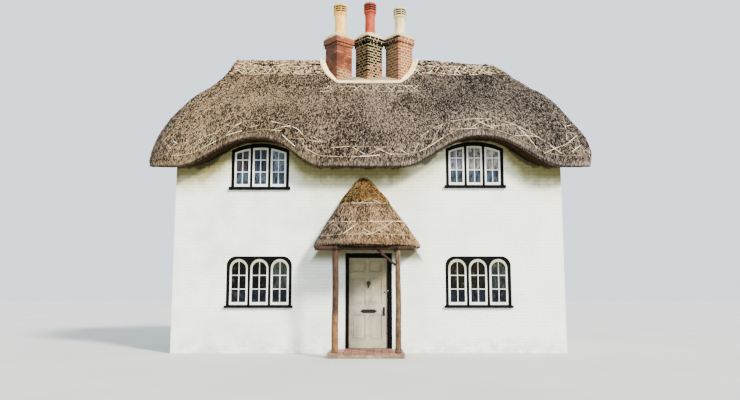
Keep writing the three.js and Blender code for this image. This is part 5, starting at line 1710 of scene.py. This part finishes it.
def door_stops():
    """The stops in front of the leaf, and a bell push on the right one."""
    shape = Shape()
    for inner, outer in ((STOP_INNER_LEFT, -STOP_OUTER), (STOP_INNER_RIGHT, STOP_OUTER)):
        shape.add(*block((inner, STOP_FRONT, STOP_LOW), (outer, STOP_BACK, STOP_HIGH), 0.003))
    shape.add(*block((-STOP_OUTER, STOP_FRONT + 0.0005, STOP_UNDER),
                     (STOP_OUTER, STOP_BACK, STOP_HIGH + 0.004), 0.003))
    make("door_stops", shape, BLACK_PAINT, "black_paint")
    bell = Shape()
    profile = [(0.016, 0.0), (0.016, 0.008), (0.009, 0.013), (0.004, 0.013)]
    bell.add(*front_turned(profile, BELL_X, STOP_FRONT, BELL_Z, 20))
    make("bell_push", bell, CASEMENT_PAINT, "cream_paint")


def carried_over():
    """CAD pieces whose shape is right get their finish."""
    finishes = {
        WALL: ("front_wall_left", "front_wall_right", "front_wall_over_door", "back_wall",
               "left_wall", "right_wall"),
        CONCRETE: ("floor_slab",),
        BOARDS: ("upper_floor",),
        BLACK_PAINT: ("door_frame",),
        IRON: ("door_knocker", "letter_plate", "door_handle"),
    }
    for material, names in finishes.items():
        for name in names:
            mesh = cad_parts[name].data
            mesh.materials.clear()
            mesh.materials.append(material)


def breast():
    """The chimney breast inside, with the look of clean brick."""
    shape = Shape()
    shape.add(*block(*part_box("chimney_breast"), 0.01), tone=0.55, pale=0.2, soot=0.1)
    make("chimney_breast_brickwork", shape, BRICK, "brick", "chimney_breast")


# Porch: how far it leans to the left as it rises, and its rows as height, half width and reach

PORCH_LEAN = 0.052
PORCH_ROWS = np.array([
    [3.842, 0.016, 0.017], [3.825, 0.076, 0.077], [3.770, 0.152, 0.154], [3.660, 0.248, 0.252],
    [3.450, 0.430, 0.440], [3.200, 0.630, 0.650], [2.850, 0.872, 0.905], [2.500, 1.102, 1.150],
    [2.370, 1.178, 1.228], [2.320, 1.172, 1.222], [2.290, 1.130, 1.180],
])
PORCH_UNDER = np.array([[2.290, 1.130, 1.180], [2.336, 1.000, 1.050], [3.480, 0.012, 0.012]])
PORCH_STEPS = 75
PORCH_UNDER_STEPS = 16
PORCH_COLUMNS = 150
PORCH_CAP_Z = 3.30


def porch_grid(rows, count):
    """Rings of the porch thatch from its top to its lip, and where each point is round it and down it."""
    knots = distances(rows[:, :2])
    at = np.linspace(0, knots[-1], count)[:, None]
    z, half, reach = [np.interp(at, knots, values) for values in rows.T]
    turn = np.linspace(0, pi, PORCH_COLUMNS)
    x = PORCH_X - PORCH_LEAN * (z - PORCH_ROWS[-1, 0]) - half * np.cos(turn)
    y = WALL_FACE - reach * np.sin(turn)
    flow = np.stack(np.broadcast_arrays(2.2 * np.cos(turn), 2.2 * np.sin(turn), at), -1)
    return np.stack([x, y, z + 0 * x], -1), flow


def porch_normals(grid):
    return unit(np.cross(np.gradient(grid, axis=0), np.gradient(grid, axis=1)))


def before_wall(grid):
    """A grid with no point behind the face of the wall."""
    return np.stack([grid[..., 0], np.minimum(grid[..., 1], WALL_FACE), grid[..., 2]], -1)


def porch_thatch():
    """The little conical roof with its underside. Returns the roof's outer surface."""
    grid, flow = porch_grid(PORCH_ROWS, PORCH_STEPS)
    free = np.sin(np.linspace(0, pi, PORCH_COLUMNS)) ** 0.35
    height = roughness(flow, 91, (0.010, (5, 5, 3)), (0.008, (16, 16, 6))) * free
    outer = before_wall(grid + porch_normals(grid) * height[..., None])
    lip = lip_share(flow)
    shape = Shape()
    shape.add(outer, [grid_faces(*lip.shape)], flow=flow, tone=0.5, cut=lip_foot(outer), lip=lip)
    under, _ = porch_grid(PORCH_UNDER, PORCH_UNDER_STEPS)
    under[0] = outer[-1]
    add_underside(shape, under)
    straws_on(shape, outer, flow, 6500, 93, length=(0.04, 0.10), width=(0.006, 0.018), lift=0.010,
              rows=(0.0, 0.97), lip=lip)
    straws_on(shape, outer, flow, 2200, 96, length=(0.04, 0.08), width=(0.004, 0.010), lift=0.008,
              rows=(0.91, 0.96), tones=(0.4, 1.0), lip=lip, lean=0.12)
    # Dark-toned straws at the very lip, painted shade at its foot
    straws_on(shape, outer, flow, 1300, 99, length=(0.025, 0.045), width=(0.008, 0.016), lift=0.004,
              rows=(0.985, 1.0), tones=(-0.4, 0.3), lean=0.10)
    make("porch_coat", shape, PORCH_THATCH, "thatch", "porch_thatch", outward=False)
    return outer


def porch_crown():
    """The extra layer at the top of the porch roof, ragged at its foot."""
    grid, flow = porch_grid(PORCH_ROWS, PORCH_STEPS)
    last = int(np.argmax(grid[:, 0, 2] < PORCH_CAP_Z))
    grid, flow = grid[:last + 1], flow[:last + 1] + (7.0, 3.0, 2.0)
    normals = porch_normals(grid)
    edge = np.interp(np.arange(last + 1), (0, 1, last - 4, last), (0.3, 1.0, 1.0, 0.35))
    bumps = (0.022 + roughness(flow, 94, (0.009, (9, 9, 5)))) * edge[:, None]
    layer = before_wall(np.concatenate([grid + normals * bumps[..., None], grid[-1:] - normals[-1:] * 0.01]))
    flow = np.concatenate([flow, flow[-1:]])
    crown = Shape()
    # The crown's last row is painted dark, as the shade under its proud edge
    crown.add(layer, [grid_faces(*layer.shape[:2])], flow=flow, tone=0.55, cut=foot_marks(layer, 0.8),
              lip=0.0)
    straws_on(crown, layer[:-1], flow[:-1], 2400, 95, length=(0.04, 0.10), width=(0.005, 0.016), lift=0.016)
    make("porch_cap", crown, PORCH_CAP_THATCH, "thatch", outward=False)


# Rods on the porch, as lines of pixels: on its coat, and on its crown, which is proud of the coat
PORCH_RODS = [
    [(327.5, 221.8), (340, 221.7), (356, 221.7), (372, 221.5)],
    [(372, 221.5), (388, 221.3), (405, 221.8)], [(318.5, 236), (333, 235), (350, 234.3), (370, 234.2)],
    [(370, 234.2), (392, 234.4), (412, 235.5)], [(335, 224), (342.5, 232.5)], [(355, 223), (372, 234)],
    [(372, 234), (392, 222)], [(378, 222.5), (394.5, 233.5)], [(394.5, 233.5), (406, 224.5)],
    [(343, 234), (358, 223)], [(322, 233), (330, 223)], [(366, 222), (383, 232)],
]
CROWN_RODS = [
    [(352, 203.5), (368, 203.3), (386, 203.8)], [(360, 203), (374, 196.8)], [(366, 197), (380, 203)],
]
CROWN_PROUD = 0.026
PORCH_ROD_RADIUS = 0.0063


def porch_rods(outer):
    draw = np.random.default_rng(97)
    tree = tree_of(outer)
    shape = Shape()
    add_rods(shape, tree, PORCH_RODS, draw, radius=PORCH_ROD_RADIUS)
    add_rods(shape, tree, CROWN_RODS, draw, radius=PORCH_ROD_RADIUS, out=CROWN_PROUD)
    make("porch_rods", shape, RODS, "thatch", smooth=True)


# Posts: name, x, radius at foot and top, material, and knots as turn, share of the height and size
POSTS = [
    ("porch_post_left", -0.690, 0.075, 0.068, LEFT_POST_WOOD,
     [(-1.3, 0.3, 0.014), (-2.0, 0.56, 0.012), (-1.0, 0.78, 0.012), (-1.8, 0.12, 0.012)]),
    ("porch_post_right", 0.610, 0.065, 0.058, RIGHT_POST_WOOD,
     [(-1.5, 0.42, 0.010), (-1.2, 0.16, 0.012), (-2.1, 0.7, 0.010)]),
]
POST_Y = -3.25
POST_FOOT, POST_TOP = 0.1003, 2.199
RAIL_Z = 2.2447
SIDE_RAIL_BACK, SIDE_RAIL_FRONT, SIDE_RAIL_RADIUS = -2.251, -3.425, 0.044
FRONT_RAIL_LEFT, FRONT_RAIL_RIGHT, FRONT_RAIL_RADIUS = -1.12, 0.96, 0.0445
BRACE_HEAD_X, BRACE_FOOT_X, BRACE_FOOT_Z, BRACE_RADIUS = 0.15, 0.56, 1.89, 0.025


def trunk(low, high, radius, top_radius, knots, seed, rows=110, columns=28):
    """A peeled trunk: slightly crooked, ridged along its length, with knots."""
    share = np.linspace(0, 1, rows)[:, None]
    turn = circle(columns)
    centre = np.array(low) + (np.array(high) - np.array(low)) * share
    sway = 0.006 * np.sin(share * 7 + seed) * np.sin(share * pi)
    wide = radius + (top_radius - radius) * share
    ring = np.stack(np.broadcast_arrays(np.cos(turn), np.sin(turn), 0 * share), -1)
    at = np.stack(np.broadcast_arrays(np.cos(turn) * 2.2, np.sin(turn) * 2.2, share * 3), -1)
    rough = roughness(at, seed, (0.004, (1, 1, 1.5)), (0.0025, 3))
    for knot_turn, knot_share, size in knots:
        gap = np.angle(np.exp(1j * (turn - knot_turn)))
        rough = rough + size * np.exp(-((gap / 0.35) ** 2 + ((share - knot_share) / 0.02) ** 2))
    points = centre[:, None] + ring * (np.minimum(wide + rough, wide + 0.012) - 0.004)[..., None]
    points[..., 0] += sway
    return points, tube_faces(rows, columns)


def wavering(start, end, count, seed):
    """Points of a slightly crooked pole between two places."""
    share = np.linspace(0, 1, count)[:, None]
    wave = np.stack([noise(share * (6, 0, 0), seed + k) for k in range(3)], -1)
    return np.array(start) + (np.array(end) - np.array(start)) * share + wave * 0.003 * np.sin(share * pi)


def porch_timber():
    """The two posts, and the rails and the brace that rest on them."""
    rails = Shape()
    for seed, (name, x, radius, top_radius, material, knots) in enumerate(POSTS):
        post = Shape()
        post.add(*trunk((x, POST_Y, POST_FOOT), (x, POST_Y, POST_TOP), radius, top_radius, knots, 60 + seed))
        make(name + "_trunk", post, material, "bare_pole", name, smooth=True)
        side_rail = wavering((x, SIDE_RAIL_BACK, RAIL_Z), (x, SIDE_RAIL_FRONT, RAIL_Z), 14, 63)
        rails.add(*swept(side_rail, SIDE_RAIL_RADIUS, 16))
    front_rail = wavering((FRONT_RAIL_LEFT, POST_Y, RAIL_Z), (FRONT_RAIL_RIGHT, POST_Y, RAIL_Z), 24, 64)
    rails.add(*swept(front_rail, FRONT_RAIL_RADIUS, 16))
    brace = wavering((BRACE_HEAD_X, POST_Y, RAIL_Z), (BRACE_FOOT_X, POST_Y, BRACE_FOOT_Z), 12, 65)
    rails.add(*swept(brace, BRACE_RADIUS, 12))
    make("porch_rails", rails, SHADED_RAIL_WOOD, "bare_pole", "porch_frame", smooth=True)


TILE_SIDE = 0.1525
TILE_GAP = 0.004
TILE_FOOT, TILE_TOP = 0.078, 0.0985
BED_INSET, BED_TOP = 0.004, 0.084
STEP_HALF, STEP_FRONT, STEP_BACK = 0.5197, -2.2503, -1.9203


def porch_floor():
    """Quarry tiles on a bed, with a tiled front edge and a stone doorstep."""
    draw = np.random.default_rng(98)
    low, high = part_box("porch_floor")
    bed, tiles = Shape(), Shape()
    left, right, front, back = low.x, high.x, low.y, WALL_FACE
    bed.add(*block((left + BED_INSET, front + BED_INSET, 0), (right - BED_INSET, back, BED_TOP), 0.003))
    bed.add(*block((-STEP_HALF, STEP_FRONT, 0), (STEP_HALF, STEP_BACK, TILE_TOP)))
    columns = round((right - left) / TILE_SIDE)
    rows = round((back - front) / TILE_SIDE)
    wide, deep = (right - left) / columns, (back - front) / rows
    for i, j in np.ndindex(columns, rows):
        x, y = left + i * wide, front + j * deep
        top = TILE_TOP + draw.uniform(-0.001, 0.001)
        near = (x + TILE_GAP, y + TILE_GAP * (j > 0), TILE_FOOT)
        tiles.add(*block(near, (x + wide - TILE_GAP, y + deep - TILE_GAP, top)), tone=draw.uniform(0, 1))
    make("porch_floor_bed", bed, CEMENT, "cement")
    make("porch_tiles", tiles, TILE, "quarry_tile", "porch_floor")


# Stage, light and camera

STAGE_HALF = 60
SKY_COLOR = (0.80, 0.92, 1.0, 1)
SKY_STRENGTH = 1.85
SUN_WAY = (-0.62, 0.68, -0.62)
SUN_STRENGTH = 11.2
SUN_ANGLE = radians(10)
SUN_COLOR = (1.0, 0.95, 0.88)


def stage():
    """A pale floor under an even sky."""
    mesh = bpy.data.meshes.new("floor")
    corners = [(x * STAGE_HALF, y * STAGE_HALF, 0) for x, y in ((-1, -1), (1, -1), (1, 1), (-1, 1))]
    mesh.from_pydata(corners, [], [(0, 1, 2, 3)])
    floor = bpy.data.objects.new("floor", mesh)
    bpy.context.scene.collection.objects.link(floor)
    it = Surface("pale_floor", 0.9)
    color = it.ramp(it.noise(it.place(), 0.4, 3, 0.5), (0.3, "#b3b2ae"), (0.7, "#bcbbb7"))
    mesh.materials.append(it.finish(color))
    world = bpy.data.worlds.new("studio")
    world.use_nodes = True
    background = world.node_tree.nodes["Background"]
    background.inputs["Color"].default_value = SKY_COLOR
    background.inputs["Strength"].default_value = SKY_STRENGTH
    bpy.context.scene.world = world


def sun():
    """A soft sun from the front right."""
    data = bpy.data.lights.new("key", "SUN")
    data.energy = SUN_STRENGTH
    data.angle = SUN_ANGLE
    data.color = SUN_COLOR
    lamp = bpy.data.objects.new("key", data)
    lamp.rotation_euler = Vector(SUN_WAY).to_track_quat("-Z", "Y").to_euler()
    bpy.context.scene.collection.objects.link(lamp)


def camera():
    """The camera of the photograph."""
    data = bpy.data.cameras.new("camera")
    data.sensor_width = SENSOR_WIDTH
    data.lens = FOCAL_PIXELS / PHOTO_WIDTH * SENSOR_WIDTH
    eye = bpy.data.objects.new("camera", data)
    eye.location = EYE
    eye.rotation_euler = (pi / 2 + TILT, 0, 0)
    bpy.context.scene.collection.objects.link(eye)
    bpy.context.scene.camera = eye


camera()
stage()
sun()

carried_over()
breast()
thatch_coats()
left_cap = ridge_cap("left_ridge_layer", -1, "left_ridge_cap", 31)
right_cap = ridge_cap("right_ridge_layer", 1, "right_ridge_cap", 35)
thatch_rods()
ridge_rods("left_ridge_rods", left_cap, LEFT_RIDGE_SPAN, 55)
ridge_rods("right_ridge_rods", right_cap, RIGHT_RIDGE_SPAN, 57)
chimney_base()
for stack, name in enumerate(("left_stack", "middle_stack", "right_stack")):
    chimney_stack(stack, name)
pot(0, CREAM_CLAY, "cream_clay")
pot(1, RED_CLAY, "red_clay")
pot(2, BUFF_CLAY, "buff_clay")
windows()
front_door()
door_stops()
porch_outer = porch_thatch()
porch_crown()
porch_rods(porch_outer)
porch_timber()
porch_floor()
